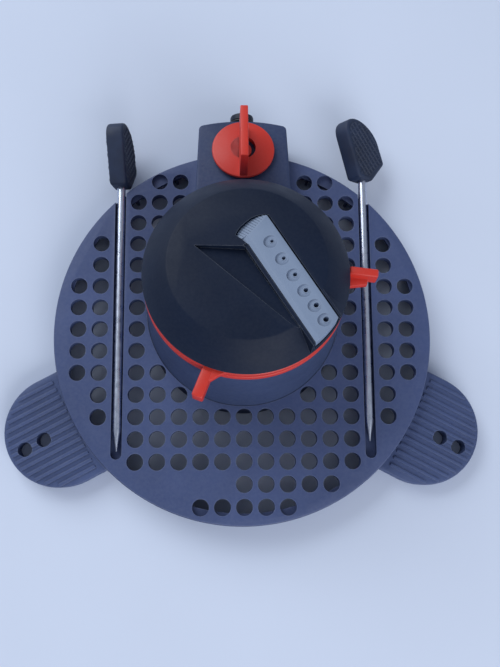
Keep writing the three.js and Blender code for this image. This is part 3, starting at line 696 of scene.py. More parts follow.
def ring_points(radius: float, start: float, end: float, count: int, centre: Point = (0, 0)) -> list[Point]:
    """Points along an arc.

    Args:
        radius: the arc's radius.
        start: its first angle in degrees.
        end: its last angle in degrees.
        count: how many points there are.
        centre: the arc's centre.

    Returns:
        The points.
    """
    angles = [math.radians(start + (end - start) * i / (count - 1)) for i in range(count)]
    return [(centre[0] + radius * math.cos(a), centre[1] + radius * math.sin(a)) for a in angles]


# ---------------------------------------------------------------- sub-assemblies
@dataclass
class Shapes:
    """Outlines that several sub-assemblies share."""

    drum_foot_r: float = 56.6
    drum_top_r: float = 54.4
    drum_top: float = 43.5
    drum_depth: float = -27.0
    box_half: float = 26.3
    box_taper: float = 0.043
    box_back: float = 108.4
    box_crown: float = 3.0
    box_front: float = 40.0
    box_corner: float = 1.5
    buried: float = -30.0

    def drum_r(self, height: float) -> float:
        """The drum's outer radius at a height in the leaning frame."""
        return self.drum_foot_r + (self.drum_top_r - self.drum_foot_r) * height / self.drum_top

    def drum_space(self) -> Solid:
        """The drum's space with a gap round it, in the row frame."""
        tool = rod("drum space", self.drum_r(self.drum_depth) + GAP, self.drum_depth, self.drum_top,
                         sides=FINE, top=self.drum_top_r + GAP)
        return place(tool, lean_matrix())

    def box_space(self) -> Solid:
        """The valve housing's space with a gap round it, in the row frame."""
        return place(self.box_tool(GAP, -self.buried), lean_matrix())

    def box_tool(self, grow: float, top: float, name: str = "box tool") -> Solid:
        """The valve housing's whole body, grown, in the leaning frame.

        Args:
            grow: how much larger it is all round.
            top: its height.
            name: its name.

        Returns:
            The body, down to well under the ground.
        """
        back = self.box_back + grow
        side = self.box_half + grow
        front = self.box_half + (self.box_back - self.box_front) * self.box_taper + grow
        steps = [1 - i / 10 for i in range(21)]
        bulge = [(u * (side - self.box_corner), back + self.box_crown * (1 - u * u)) for u in steps]
        turn_in = back - self.box_corner
        outline = [(-front, self.box_front), (front, self.box_front), (side, turn_in), *bulge, (-side, turn_in)]
        return plate(name, outline, self.buried, top)


@dataclass
class Base:
    """The perforated deck, its skirt and the two ribbed wings."""

    shapes: Shapes
    deck_r: float = 110.8
    deck_y: float = -15.0
    deck_thick: float = 3.0
    hole_r: float = 4.8
    collar_r: float = 6.05
    collar_foot: float = 13.6
    pitch: Point = (12.5, 12.88)
    first_row: float = -115.4
    side_column: float = 6.73
    slot_x: float = 73.3
    slot_half: float = 3.2
    slot_end: float = -88.1
    wing_r: float = 32.5
    wing_reach: float = 120.6
    wing_drop: float = 27.8
    wing_top: float = 12.0
    rib_pitch: float = 4.6
    rib_width: float = 2.1
    rib_root: float = 9.0
    stake_holes: Point = (10.7, 22.7)
    stake_hole_r: float = 4.2
    skirt_foot: float = 0.6
    ledge: Point = (7.4, 2.4)
    skirt_ribs: int = 24
    collar_sides: int = 24
    rim_sides: int = 256
    rows: list[tuple[list[int], list[int]]] = field(default_factory=list)

    def __post_init__(self) -> None:
        """Lists, for each row from the front, its columns on the grid and its outer columns."""
        def both(*columns: int) -> list[int]:
            return [side * column for column in columns for side in (-1, 1)]

        full = list(range(-5, 6))
        self.rows = [
            ([-2, -1, 0, 1, 2], []), ([0, 1, 2, 3, 4], []), (full, []), (full, []), (full, [1]),
            (both(3, 4, 5), [1]), (both(4, 5), [1, 2]), *[(both(5), [1, 2])] * 4,
            (both(5), [1]), (both(4, 5), [1]), (both(3, 4, 5), []), (both(3, 4, 5), []), (both(3, 4), []),
        ]

    def hole_places(self) -> list[Matrix]:
        """Where each hole of the deck is."""
        places = []
        for row, (columns, outer) in enumerate(self.rows):
            across = [float(c) for c in columns]
            across += [side * (self.side_column + n - 1) for n in outer for side in (-1, 1)]
            y = self.first_row + row * self.pitch[1]
            places += [shift(column * self.pitch[0], y, 0) for column in across]
        return places

    def slot_tool(self, side: Side, grow: float, foot: float) -> Solid:
        """The space of a stake's slot, grown.

        Args:
            side: which slot it is.
            grow: how much wider it is all round.
            foot: the height of its floor.

        Returns:
            The slot's space.
        """
        x = side.value * self.slot_x
        half = self.slot_half + grow
        end = self.slot_end + self.slot_half
        outline = [(x + half, end), (x + half, 120), (x - half, 120), (x - half, end)]
        return plate(f"slot {side.word}", outline + ring_points(half, 180, 360, 17, (x, end))[1:-1],
                           foot, DECK_TOP + 1)

    def disc(self, name: str, radius: float, low: float, high: float) -> Solid:
        """A disc about the deck's centre."""
        return rod(name, radius, low, high, (0, self.deck_y), self.rim_sides)

    def make_deck(self) -> None:
        """Builds the perforated plate with a collar under each hole and a trough under each slot."""
        bottom = DECK_TOP - self.deck_thick
        deck = turned("deck_plate_top", [
            (0, bottom), (self.deck_r, bottom), (self.deck_r, DECK_TOP - 1.2), (self.deck_r - 0.35, DECK_TOP - 0.35),
            (self.deck_r - 1.2, DECK_TOP), (0, DECK_TOP)], self.rim_sides, (0, self.deck_y))
        collar = rod("collar", self.collar_r, self.collar_foot, bottom + 0.5, sides=self.collar_sides)
        collars = cluster("collars", collar, self.hole_places())
        rim = self.disc("rim", self.deck_r - 3.4, self.collar_foot - 1, DECK_TOP - 1)
        combine(collars, Cut.KEEP, rim)
        combine(deck, Cut.JOIN, collars)
        for side in Side:
            trough = self.slot_tool(side, 1.6, self.collar_foot)
            within = self.disc("within", self.deck_r - 0.4, 0, DECK_TOP - 0.6)
            combine(deck, Cut.JOIN, combine(trough, Cut.KEEP, within))
        drill = rod("drill", self.hole_r, 5, DECK_TOP + 5, sides=self.collar_sides)
        combine(deck, Cut.AWAY, cluster("drills", drill, self.hole_places()))
        for side in Side:
            combine(deck, Cut.AWAY, self.slot_tool(side, 0, self.collar_foot + 0.8))
        combine(deck, Cut.AWAY, self.shapes.drum_space(), self.shapes.box_space())
        soften(deck, 0.3, 1, 50)
        hand_over(deck, DECK_FINISH, "base", ["deck_plate"])

    def make_skirt(self) -> None:
        """Builds the skirt with its inner ledge and short ribs."""
        top = DECK_TOP - self.deck_thick - GAP
        outer = self.deck_r + 0.5
        foot, (reach, deep) = self.skirt_foot, self.ledge
        skirt = turned("skirt_ring", [
            (outer + foot, 0), (outer + foot, foot), (outer, top - 0.5), (outer - 0.5, top), (outer - reach, top),
            (outer - reach, top - deep), (outer - deep, top - deep), (outer - 1.8, 0)],
            self.rim_sides, (0, self.deck_y))
        rib = block("rib", (outer - 6.6, -0.8, 4), (outer - 1.4, 0.8, top - 2))
        step = 360 / self.skirt_ribs
        turns = [shift(0, self.deck_y, 0) @ about(step * (i + 0.5)) for i in range(self.skirt_ribs)]
        combine(skirt, Cut.JOIN, cluster("ribs", rib, turns))
        slots = [self.slot_tool(side, 0, self.collar_foot - 0.4) for side in Side]
        combine(skirt, Cut.AWAY, self.shapes.box_space(), *slots)
        soften(skirt, 0.25, 1, 60)
        hand_over(skirt, SKIRT_FINISH_SHADED, "base", ["base_frame"])

    def make_wing(self, side: Side) -> None:
        """Builds one wing: a flat slab that meets the skirt, with rounded ribs running outwards.

        Args:
            side: which wing it is.
        """
        inner = self.wing_reach - 16
        outline = [(inner, -self.wing_r), *ring_points(self.wing_r, -90, 90, 49, (self.wing_reach, 0)),
                   (inner, self.wing_r)]
        low = self.wing_top - 1.0
        wing = plate(f"wing_{side.word}_ribbed", outline, 0, low)
        soften(wing, 0.9, 2, 60)
        count = int((self.wing_r - 2) / self.rib_pitch)
        ribs = []
        for i in range(-count, count + 1):
            y = i * self.rib_pitch
            end = self.wing_reach + math.sqrt((self.wing_r - 1.4) ** 2 - y * y)
            rib = block(f"rib {i}", (self.wing_reach - self.rib_root, y - self.rib_width / 2, low - 0.6),
                              (end, y + self.rib_width / 2, self.wing_top))
            soften(rib, 0.55, 3, 60)
            ribs.append(rib)
        pick(*ribs)
        bpy.ops.object.join()
        combine(wing, Cut.JOIN, bpy.context.object)
        drills = [rod("stake hole", self.stake_hole_r, -1, 20, (self.wing_reach + x, 0), 40)
                  for x in self.stake_holes]
        combine(wing, Cut.AWAY, *drills)
        turn = -self.wing_drop if side is Side.RIGHT else 180 + self.wing_drop
        place(wing, shift(0, self.deck_y, 0) @ about(turn))
        outer = self.deck_r + 0.5 + GAP
        skirt = rod("skirt space", outer + self.skirt_foot, -0.01, DECK_TOP - self.deck_thick,
                          (0, self.deck_y), self.rim_sides, outer)
        combine(wing, Cut.AWAY, skirt)
        hand_over(wing, WING_FINISH, "base", [f"wing_{side.word}"])

    def build(self) -> None:
        """Builds the whole base."""
        self.make_deck()
        self.make_skirt()
        for side in Side:
            self.make_wing(side)


@dataclass(frozen=True)
class Tab:
    """A sector ring's tab.

    Args:
        azimuth: where it points, in degrees from +X.
        width: its width.
        gusset: its gusset's corners, from the ring's edge outwards and from the tab's middle sideways.
        side: 1 with the gusset anticlockwise of it, -1 clockwise.
        skew: how far the blade turns from pointing straight out, in degrees.
        shift: how far the blade stands off sideways.
    """

    azimuth: float
    width: float
    gusset: tuple[Point, ...]
    side: int
    skew: float = 0.0
    shift: float = 0.0


@dataclass
class Turret:
    """The drum, the two sector rings with their tabs and the head, in the leaning frame."""

    shapes: Shapes
    wall: float = 2.4
    ledge: float = 9.0
    roof: float = 2.5
    roof_bore: float = 12.0
    neck_r: float = 47.3
    neck_rise: float = 10.7
    ring_rise: float = 0.4
    head_rise: float = 11.1
    port_r: float = 6.9
    port_z: float = 10.5
    ring_r: float = 55.1
    ring_height: float = 4.6
    ring_gap: float = 0.4
    tab_reach: float = 70.9
    upper_tab: Tab = Tab(-111.3, 6.0, ((-1.5, 0), (7.5, 0), (5.4, 3.6), (1.6, 6.4), (-1.5, 10)), 1)
    lower_tab: Tab = Tab(1.6, 4.6, ((-1.5, 0), (11, 0), (10, 5.4), (1.2, 6), (-1.5, 8.6)), -1, -9.0, 1.0)
    band: float = 1.4
    head_top_r: float = 41.4
    head_top: float = 71.0
    strip_turn: float = -58.2
    strip_near: float = -22.7
    strip_far: float = -6.0
    strip_line: float = -17.0
    strip_start: float = -14.0
    strip_rise: float = 0.3
    strip_r: float = 54.4
    strip_deep: float = 9.4
    nozzles: int = 6
    nozzle_first: float = -3.1
    nozzle_step: float = 11.1
    nozzle_closing: float = 0.28
    nozzle_r: Point = (0.85, 1.4)
    pocket_r: float = 3.5
    pocket_deep: float = 0.95
    pocket_tilt: float = 14.0
    pocket_shift: float = 0.9
    bevel: Point = (2.6, 1.1)
    end_slope: float = 20.0
    end_at: Point = (-14.3, -16.2)
    end_turn: float = -18.7
    groove_step: float = 1.5
    seat_wall: float = 2.3
    hollow_rise: float = 4.0
    groove_width: float = 0.8

    @property
    def head_z(self) -> float:
        """The height of the head's underside."""
        return self.shapes.drum_top + self.head_rise

    def strip_matrix(self) -> Matrix:
        """The nozzle strip's frame: X runs along the strip towards the rim, and Y to its right."""
        return about(self.strip_turn) @ Matrix.Scale(-1, 4, (0, 1, 0))

    def to_strip(self, item: Solid) -> Solid:
        """Puts a piece into the strip's place and turns its mirrored faces out again."""
        place(item, self.strip_matrix())
        edit(item)
        close()
        return item

    def make_drum(self) -> None:
        """Builds the drum with its stepped top, its neck and its ledge for the gear plate."""
        radius, top, wall, ledge = self.shapes.drum_r, self.shapes.drum_top, self.wall, self.ledge
        foot, roof, neck = self.shapes.drum_depth, self.shapes.drum_top - self.roof, top + self.neck_rise
        drum = turned("turret_drum", [
            (radius(foot), foot), (radius(top - 0.9), top - 0.9), (radius(top) - 0.9, top), (self.neck_r, top),
            (self.neck_r, neck), (self.neck_r - wall, neck), (self.neck_r - wall, top), (self.roof_bore, top),
            (self.roof_bore, roof), (radius(roof) - wall, roof), (radius(ledge) - wall, ledge),
            (radius(ledge) - wall - 2, ledge), (radius(ledge) - wall - 2, ledge - 2),
            (radius(ledge) - wall, ledge - 4), (radius(foot) - wall, foot)], FINE)
        place(drum, lean_matrix())
        ground = block("ground", (-150, -150, -60), (150, 150, 2.8))
        port = place(rod("port", self.port_r, 40, 70), along_y(0, self.port_z))
        combine(drum, Cut.AWAY, ground, port)
        hand_over(drum, DRUM_FINISH_SHADED, "base", ["turret_housing"])

    def make_ring(self, level: int, word: str, tab: Tab) -> None:
        """Builds a sector ring with its tab.

        Args:
            level: 0 for the lower ring and 1 for the upper.
            word: the ring's name.
            tab: its tab.
        """
        foot = self.shapes.drum_top + self.ring_rise
        low = foot + level * (self.ring_height + self.ring_gap)
        high = low + self.ring_height
        bore = self.neck_r + 0.4
        edge = self.ring_r
        ring = turned(f"ring_{word}", [
            (bore, low), (edge - 0.6, low), (edge, low + 0.6), (edge, high - 0.6), (edge - 0.6, high),
            (bore, high)], FINE)
        half = tab.width / 2
        head = foot + 2 * self.ring_height + self.ring_gap
        blade = block("blade", (edge + 0.4, -half, foot), (self.tab_reach, half, head))
        soften(blade, 1.0, 3)
        pivot = shift(edge + 2.6, 0, 0)
        place(blade, shift(0, tab.shift, 0) @ pivot @ about(tab.skew) @ pivot.inverted())
        root = block("root", (edge - 3, -half + 0.4, low + 0.2), (edge + 3, half - 0.2, high - 0.2))
        corners = [(edge + x, y * tab.side) for x, y in tab.gusset]
        gusset = plate("gusset", corners, low + 0.25, high - 0.25)
        soften(gusset, 0.4, 2)
        for piece in (blade, root, gusset):
            place(piece, about(tab.azimuth))
        combine(ring, Cut.JOIN, root, blade, gusset)
        hand_over(ring, ORANGE_FINISH, f"{word}_ring", [f"sector_ring_{word}"], Stand.LEANING)

    def strip_outline(self, grow: float, radius: float) -> list[Point]:
        """The strip's outline in its own frame.

        Args:
            grow: how much larger it is all round.
            radius: where its outer end meets the rim.

        Returns:
            The outline's points.
        """
        near, far = self.strip_near - grow, self.strip_far + grow
        rows = [near + (far - near) * i / 6 for i in range(7)]
        start = self.strip_start
        rounded = [(-1.5, far + 2.8), (-2.9, far + 0.9), (-4.0, far - 1.6), (-5.0, -12.2), (-5.3, -15.0),
                   (-4.9, -18.0), (-4.2, near + 3.0), (-3.3, near + 0.8)]
        return [(start - 2.5 - grow, near), *[(math.sqrt(radius ** 2 - y * y), y) for y in rows],
                (start + 6 + grow, far), *[(start + x - grow, y) for x, y in rounded]]

    def strip_block(self, name: str, grow: float, radius: float, low: float, high: float) -> Solid:
        """The strip's outline as a block in its place on the head."""
        return self.to_strip(plate(name, self.strip_outline(grow, radius), low, high))

    def hollow(self, grow: float) -> Solid:
        """The wedge-shaped hollow that the jets leave over.

        Args:
            grow: how much larger it is all round.

        Returns:
            The hollow's space, in its place on the head.
        """
        top, side = self.head_top, self.strip_far + self.seat_wall
        deep = [(-8 - grow, side, top - 4.6 - grow), (-22 - grow, 18.3 + grow, top - 2.2 - grow),
                (44 + 2 * grow, side, top - 1.9 - grow), (42 + 2 * grow, -1.4 + grow, top - grow)]
        corners = [(x, y, height) for x, y, floor in deep for height in (floor, top + self.hollow_rise)]
        return self.to_strip(wedge("hollow", corners))

    def cone(self, name: str) -> Solid:
        """The head's outer body.

        Args:
            name: the object's name.

        Returns:
            The body, without its hollow inside.
        """
        rim = self.head_z + self.band
        return turned(name, [
            (0, self.head_z), (self.ring_r - 0.4, self.head_z), (self.ring_r, self.head_z + 0.4),
            (self.ring_r, rim - 0.3), (self.ring_r - 0.35, rim + 0.3), (self.head_top_r + 0.5, self.head_top - 0.45),
            (self.head_top_r - 0.6, self.head_top), (0, self.head_top)], FINE)

    def make_head(self) -> None:
        """Builds the head shell with the strip's seat and the hollow beside it."""
        floor = self.head_z + 2.7
        wall = self.wall
        head = self.cone("head_shell")
        inner = turned("inner", [
            (0, self.head_z - 1), (self.ring_r - wall, self.head_z - 1), (self.ring_r - wall, self.head_z + self.band),
            (self.head_top_r - wall + 0.6, self.head_top - wall), (0, self.head_top - wall)], FINE)
        combine(head, Cut.AWAY, inner)
        seat = self.strip_block("seat", 2, self.ring_r, floor, self.head_top)
        combine(seat, Cut.KEEP, rod("rim", self.ring_r, floor, self.head_top, sides=FINE))
        basin = combine(self.hollow(2), Cut.KEEP, self.cone("basin"))
        combine(head, Cut.JOIN, seat, basin)
        bottom = self.head_top + self.strip_rise - self.strip_deep
        near, far, rim = self.strip_near, self.strip_far, self.head_top
        shelf = self.to_strip(block("shelf", (-9, far - 1, rim - 1.0), (70, far + 2.6, rim + 5)))
        line = self.to_strip(block("line", (-16.5, near - self.groove_width, rim - 2), (70, near, rim + 5)))
        combine(
            head, Cut.AWAY, self.hollow(0), shelf, line,
            self.strip_block("strip space", GAP, 70, bottom - GAP, self.head_top + 5),
            self.strip_block("manifold space", -1.5, 52, self.head_z - 1, self.head_top))
        soften(head, 0.45, 2, 28)
        hand_over(head, HEAD_FINISH, "head", ["head_cap"], Stand.LEANING)

    def nozzle_places(self) -> list[tuple[float, float]]:
        """Each nozzle's distance along the strip and its radius."""
        small, large = self.nozzle_r
        return [(self.nozzle_first + self.nozzle_step * i - self.nozzle_closing * i * (i - 1),
                 small + (large - small) * i / (self.nozzles - 1)) for i in range(self.nozzles)]

    def end_tools(self, top: float) -> list[Solid]:
        """The tools that slope the strip's inner end and score it with grooves.

        Args:
            top: the height of the strip's face.

        Returns:
            The tools, in the strip's own frame.
        """
        end = shift(*self.end_at, top) @ about(self.end_turn) @ about(-self.end_slope, "Y")
        slope = place(block("slope", (-14, -20, 0), (0, 20, 8)), end)
        groove = block("groove", (-14, -0.22, -0.3), (-0.7, 0.22, 1))
        shifts = [end @ shift(0, self.groove_step * i, 0) for i in range(-5, 9)]
        return [slope, cluster("grooves", groove, shifts)]

    def make_strip(self) -> None:
        """Builds the nozzle strip: its bevelled side, its round pockets and the nozzles in them."""
        top = self.head_top + self.strip_rise
        bottom = top - self.strip_deep
        strip = plate("nozzle_strip_face", self.strip_outline(0, self.strip_r), bottom, top)
        soften(strip, 0.4, 2, 40)
        width, drop = self.bevel
        bevel = block("bevel", (-12.5, -6, 0), (75, 12, 8))
        slant = Matrix.Rotation(-math.atan(drop / width), 4, "X")
        place(bevel, shift(0, self.strip_far - width, top) @ slant)
        combine(strip, Cut.AWAY, bevel, *self.end_tools(top))
        tilt = about(-self.pocket_tilt, "X")
        for x, radius in self.nozzle_places():
            middle = shift(x, self.strip_line + self.pocket_shift, top - self.pocket_deep)
            pocket = place(rod("pocket", self.pocket_r, 0, 5, sides=40), middle @ tilt)
            drill = rod("nozzle", radius, bottom - 1, top + 1, (x, self.strip_line), 24)
            lip = turned("lip", [
                (radius - 0.05, -1.5), (radius + 0.6, -1.5), (radius + 0.55, 0.15), (radius + 0.3, 0.3),
                (radius + 0.12, 0.28), (radius - 0.05, 0.05)], 28)
            place(lip, shift(x, self.strip_line, top - self.pocket_deep * 0.75) @ tilt)
            combine(strip, Cut.AWAY, pocket)
            combine(strip, Cut.JOIN, lip)
            combine(strip, Cut.AWAY, drill)
        self.to_strip(strip)
        hand_over(strip, STRIP_FINISH, "head", ["nozzle_strip"], Stand.LEANING)

    def build(self) -> None:
        """Builds the whole turret."""
        self.make_drum()
        self.make_ring(0, "lower", self.lower_tab)
        self.make_ring(1, "upper", self.upper_tab)
        self.make_head()
        self.make_strip()


@dataclass
class Valve:
    """The valve housing, its knob and the hose connection."""

    shapes: Shapes
    top: float = 24.0
    wall: float = 2.4
    knob_y: float = 89.9
    knob_r: float = 18.5
    knob_thick: float = 4.0
    dial_thick: float = 2.2
    fin_height: float = 24.5
    fin_thick: float = 4.4
    fin_ends: Point = (-17.8, 14.8)
    eye_r: float = 7.4
    stem_r: float = 4.4
    water_z: float = 10.5
    water_r: float = 4.8
    nipple_r: float = 7.2
    nipple_start: float = 107.0
    nipple_end: float = 124.0
    collar: Point = (113.2, 115.4)
    groove: float = 119.2
    groove_half: float = 1.3
    groove_deep: float = 1.4
    seal_r: float = 0.85
    stem_hole_r: float = 5.0
    fin_lean: float = 2.0

    def make_housing(self) -> None:
        """Builds the housing with rounded edges and a crowned back."""
        housing = self.shapes.box_tool(0, self.top, "valve_box")
        soften(housing, 1.3, 3, 25)
        combine(housing, Cut.AWAY, self.shapes.box_tool(-self.wall, self.top - self.wall))
        hole = rod("stem hole", self.stem_hole_r, 0, self.top + 1, (0, self.knob_y))
        combine(housing, Cut.AWAY, hole)
        place(housing, lean_matrix())
        port = place(rod("port", self.nipple_r + GAP, 95, 120), along_y(0, self.water_z))
        ground = block("ground", (-150, -20, -60), (150, 150, 0))
        combine(housing, Cut.AWAY, self.shapes.drum_space(), port, ground)
        hand_over(housing, DRUM_FINISH_SHADED, "base", ["valve_housing"])

    def make_knob(self) -> None:
        """Builds the knob: a disc, a tall thin fin over its eye and the hub in the eye."""
        low = self.top + GAP
        high = low + self.knob_thick
        at = (0.0, self.knob_y)
        radius = self.knob_r
        under = radius - 3.5
        knob = turned("flow_knob_dial", [
            (0, low), (under, low), (under, high - self.dial_thick), (radius - 0.8, high - self.dial_thick),
            (radius, high - 1.5), (radius, high - 0.9), (radius - 0.3, high - 0.3), (radius - 1.0, high),
            (0, high)], 128, at)
        eye = rod("eye", self.eye_r, low - 1, high + 1, (0, self.knob_y + 1), 64)
        combine(knob, Cut.AWAY, eye)
        front, back = self.knob_y + self.fin_ends[0], self.knob_y + self.fin_ends[1]
        foot, half, peak = high - 1, self.fin_thick / 2, high + self.fin_height
        tip = back - self.fin_height * math.tan(math.radians(self.fin_lean))
        fin = wedge("fin", [corner for side in (-1, 1) for corner in (
            (side * (half + 0.2), front, foot), (side * half, front - 0.4, peak),
            (side * (half + 0.2), back, foot), (side * half, tip, peak))])
        soften(fin, 0.55, 3)
        tunnel = rod("tunnel", self.eye_r, low, high + 0.6, (0, self.knob_y + 1), 64)
        combine(fin, Cut.AWAY, tunnel)
        hub_r = self.stem_r + 0.6
        hub = turned("hub", [
            (0, low), (hub_r, low), (hub_r, high - 1.5), (hub_r - 0.3, high - 1.1), (0, high - 1.1)], 64, at)
        web = block("web", (-1.6, self.knob_y - 5, high - 1.5), (1.6, self.knob_y + 5, high + 1.2))
        combine(knob, Cut.JOIN, fin, web, hub)
        socket = rod("socket", self.stem_r + 0.05, low - 1, self.top + 3.1, at)
        combine(knob, Cut.AWAY, socket)
        hand_over(knob, ORANGE_FINISH, "knob", ["flow_knob"], Stand.LEANING)

    def make_nipple(self) -> None:
        """Builds the plug-in hose end with its collar and its seal."""
        r, end, (c0, c1) = self.nipple_r, self.nipple_end, self.collar
        g0, g1, floor = self.groove - self.groove_half, self.groove + self.groove_half, self.nipple_r - self.groove_deep
        nipple = turned("hose_nipple_end", [
            (self.water_r, self.nipple_start), (r, self.nipple_start), (r, c0), (r + 2.2, c0), (r + 2.6, c0 + 0.4),
            (r + 2.6, c1 - 0.4), (r + 2.2, c1), (r, c1), (r, g0), (floor, g0), (floor, g1), (r, g1),
            (r, end - 1.2), (r - 0.3, end - 0.4), (r - 0.9, end), (self.water_r, end)], 96)
        place(nipple, along_y(0, self.water_z))
        hand_over(nipple, BLACK_FINISH, "base", ["hose_nipple"])
        pick()
        bpy.ops.mesh.primitive_torus_add(major_radius=r - 0.3, minor_radius=self.seal_r, major_segments=96,
                                         minor_segments=16, location=(0, 0, self.groove))
        seal = place(named("nipple_seal"), along_y(0, self.water_z))
        hand_over(seal, SEAL_FINISH, "base", ["nipple_oring"])

    def build(self) -> None:
        """Builds the whole valve."""
        self.make_housing()
        self.make_knob()
        self.make_nipple()


@dataclass
class Stake:
    """A ground stake: a pointed steel wire with a moulded grip."""

    side: Side
    tip: float
    turn: float
    x: float = 73.3
    z: float = 17.4
    radius: float = 2.5
    bare: float = 158.8
    point: float = 11.5
    in_grip: float = 24.0
    length: float = 36.0
    width: float = 27.4
    offset: float = 7.0
    foot: Point = (-7.8, 3.8)
    chamfer: float = 12.4
    round: float = 12.0
    thick: float = 10.5
    lean: float = 22.8
    rib_pitch: float = 3.1
    rib_half: float = 0.5
    rib_rise: float = 0.45
    rib_margin: float = 2.4

    def outline(self, inset: float) -> list[Point]:
        """The grip's broad outline, with its points along the stake.

        Args:
            inset: how much smaller it is all round.

        Returns:
            The outline's points, leaning over.
        """
        half = self.width / 2 - inset
        slant = math.tan(math.radians(self.lean))
        end = [(self.offset + half * x, self.length - inset - (self.round - inset) * (1 - y))
               for x, y in ring_points(1, 0, 180, 25)]
        low, high = self.foot
        points = [(low + inset, inset - 0.8), (high - inset * 0.6, inset - 0.8),
                  (self.offset + half, self.chamfer + inset * 0.4), *end]
        return [(x - y * slant, y) for x, y in points]

    def ribs(self, direction: int) -> Solid:
        """One set of parallel ribs over both broad faces.

        Args:
            direction: 1 or -1, the way that the ribs slope.

        Returns:
            The ribs, clipped to the outline.
        """
        outer = self.thick / 2 + self.rib_rise
        bar = block("bar", (-40, -self.rib_half, -outer), (40, self.rib_half, outer))
        soften(bar, 0.35, 1)
        turn = about(direction * 45)
        bars = cluster("bars", bar, [
            shift(0, self.length / 2, 0) @ turn @ shift(0, i * self.rib_pitch, 0)
            for i in range(-11, 12)])
        inside = plate("inside", self.outline(self.rib_margin), -outer - 1, outer + 1)
        return combine(bars, Cut.KEEP, inside)

    def build(self) -> None:
        """Builds the wire and the grip."""
        wire = turned(f"stake_wire_{self.side.word}", [
            (0, 0), (0.35, 0), (self.radius - 0.15, self.point - 0.9), (self.radius, self.point + 0.6),
            (self.radius, self.bare + self.in_grip), (0, self.bare + self.in_grip)], 48)
        place(wire, shift(0, self.tip, 0) @ along_y(self.side.value * self.x, self.z))
        body = f"{self.side.word}_stake"
        hand_over(wire, STEEL_FINISH, body, [f"stake_rod_{self.side.word}"])
        grip = plate(f"stake_handle_{self.side.word}", self.outline(0), -self.thick / 2, self.thick / 2)
        soften(grip, 1.5, 3, 25)
        for direction in (1, -1):
            combine(grip, Cut.JOIN, self.ribs(direction))
        bore = place(rod("bore", self.radius + 0.12, -5, self.in_grip + GAP), along_y(0, 0))
        combine(grip, Cut.AWAY, bore)
        place(grip, shift(self.side.value * self.x, self.tip + self.bare, self.z) @ about(self.turn, "Y"))
        hand_over(grip, GRIP_FINISH, body, [f"stake_grip_{self.side.word}"])


@dataclass
class InnerWorks:
    """The CAD nodes whose shape stays, each with its finish."""

    finishes: dict[Finish, tuple[str, ...]] = field(default_factory=lambda: {
        PALE_FINISH: ("turbine_housing", "stator_disc", "turbine_pinion", "gear_base_plate", "output_gear",
                      "gear_case", "nozzle_manifold", "valve_body", *(f"compound_gear_{i}" for i in (1, 2, 3))),
        GREY_FINISH: ("turbine_wheel", "output_tube", "bearing_bush", "trip_lever", "valve_spool"),
        BLACK_FINISH: ("bottom_cover", "head_base", "inlet_duct", "valve_cover"),
        SEAL_FINISH: ("shaft_seal", "strip_gasket", "stem_seal"),
        SCREW_FINISH: ("turbine_shaft", "lay_shaft", "thrust_washer", "trip_pin", "trip_spring", "inlet_strainer",
                       *(f"bottom_screw_{i}" for i in (1, 2, 3, 4)), *(f"cap_screw_{i}" for i in (1, 2, 3)),
                       *(f"valve_screw_{i}" for i in (1, 2))),
    })

    def build(self) -> None:
        """Dresses the nodes."""
        for finish, nodes in self.finishes.items():
            for node in nodes:
                dress(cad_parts[node], finish)
            LOG.info("%s on %d frame pieces", finish.name, len(nodes))


# ---------------------------------------------------------------- the studio
@dataclass(frozen=True)
class Lamp:
    """A square soft light.

    Args:
        name: its name.
        spot: where it hangs.
        size: the length of its side.
        power: its power in watts.
        tint: its colour.
    """

    name: str
    spot: Triple
    size: float
    power: float
    tint: Triple

    def hang(self, target: Triple) -> None:
        """Hangs the light and turns it towards a target.

        Args:
            target: the point that it looks at.
        """
        data = bpy.data.lights.new(self.name, "AREA")
        data.shape, data.size, data.energy, data.color = "SQUARE", self.size, self.power, self.tint
        light = bpy.data.objects.new(self.name, data)
        bpy.context.scene.collection.objects.link(light)
        light.location = self.spot
        light.rotation_euler = (Vector(target) - Vector(self.spot)).to_track_quat("-Z", "Y").to_euler()


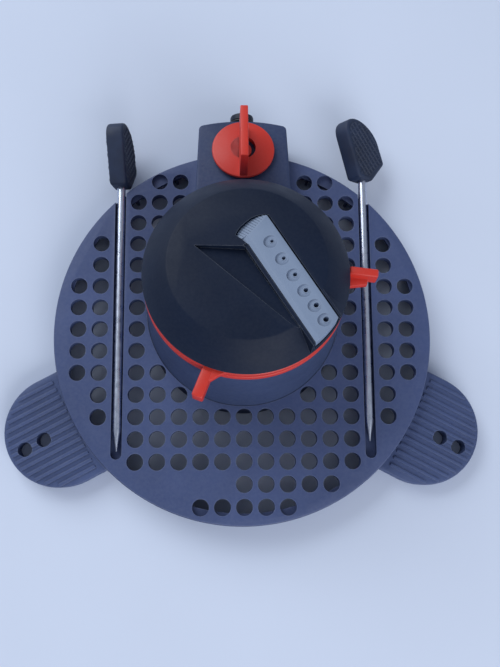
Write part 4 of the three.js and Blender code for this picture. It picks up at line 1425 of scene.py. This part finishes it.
@dataclass
class Studio:
    """The camera, a pale floor and soft light."""

    eye: Triple = (-0.0148, -0.0974, 0.5001)
    tilt: Triple = (-9.72, 2.15, 0.41)
    lens: float = 59.69
    sensor: float = 36.0
    nearest: float = 0.01
    floor: Triple = (206, 216, 236)
    target: Triple = (0, 0, 0.03)
    air: Triple = (0.8, 0.87, 1.0)
    air_strength: float = 0.4
    lamps: tuple[Lamp, ...] = (
        Lamp("sky", (-1.1, 1.3, 1.3), 1.6, 31, (0.93, 0.97, 1.0)),
        Lamp("fill", (0.6, -1.4, 0.9), 1.4, 20, (0.97, 0.98, 1.0)),
    )

    def camera(self) -> None:
        """Places the camera over the sprinkler, a little in front of it."""
        data = bpy.data.cameras.new("camera")
        data.sensor_fit = "HORIZONTAL"
        data.sensor_width = self.sensor
        data.lens = self.lens
        data.clip_start = self.nearest
        camera = bpy.data.objects.new("camera", data)
        bpy.context.scene.collection.objects.link(camera)
        x, y, z = self.tilt
        camera.matrix_world = shift(*self.eye) @ about(-z) @ about(-y, "Y") @ about(-x, "X")
        bpy.context.scene.camera = camera

    def lay_floor(self) -> None:
        """Lays a large matt floor with a faint mottle."""
        pick()
        bpy.ops.mesh.primitive_plane_add(size=6, location=(0, 0, -0.0002))
        floor = named("studio_floor")
        nodes = Nodes("studio floor")
        mottle = nodes.shades(nodes.noise(6, 4), colour(self.floor), 0.97, 1)
        floor.data.materials.append(nodes.finish(mottle, nodes.spread(nodes.noise(40, 3), 0.8, 0.9)))

    def build(self) -> None:
        """Sets up the whole studio."""
        self.camera()
        self.lay_floor()
        for lamp in self.lamps:
            lamp.hang(self.target)
        world = bpy.data.worlds.new("studio air")
        bpy.context.scene.world = world
        world.use_nodes = True
        background = world.node_tree.nodes["Background"]
        background.inputs["Color"].default_value = (*self.air, 1)
        background.inputs["Strength"].default_value = self.air_strength
        bpy.context.scene.view_settings.view_transform = "Standard"


def main() -> None:
    """Builds the studio and every sub-assembly in order."""
    logging.basicConfig(level=logging.INFO, format="%(name)s: %(message)s")
    shapes = Shapes()
    parts: list[Studio | Base | Turret | Valve | Stake | InnerWorks] = [
        Studio(), InnerWorks(), Base(shapes), Turret(shapes), Valve(shapes),
        Stake(Side.LEFT, -83.4, 80), Stake(Side.RIGHT, -78.3, 38),
    ]
    for part in parts:
        part.build()
        LOG.info("%s done", type(part).__name__)


if __name__ == "__main__":
    main()
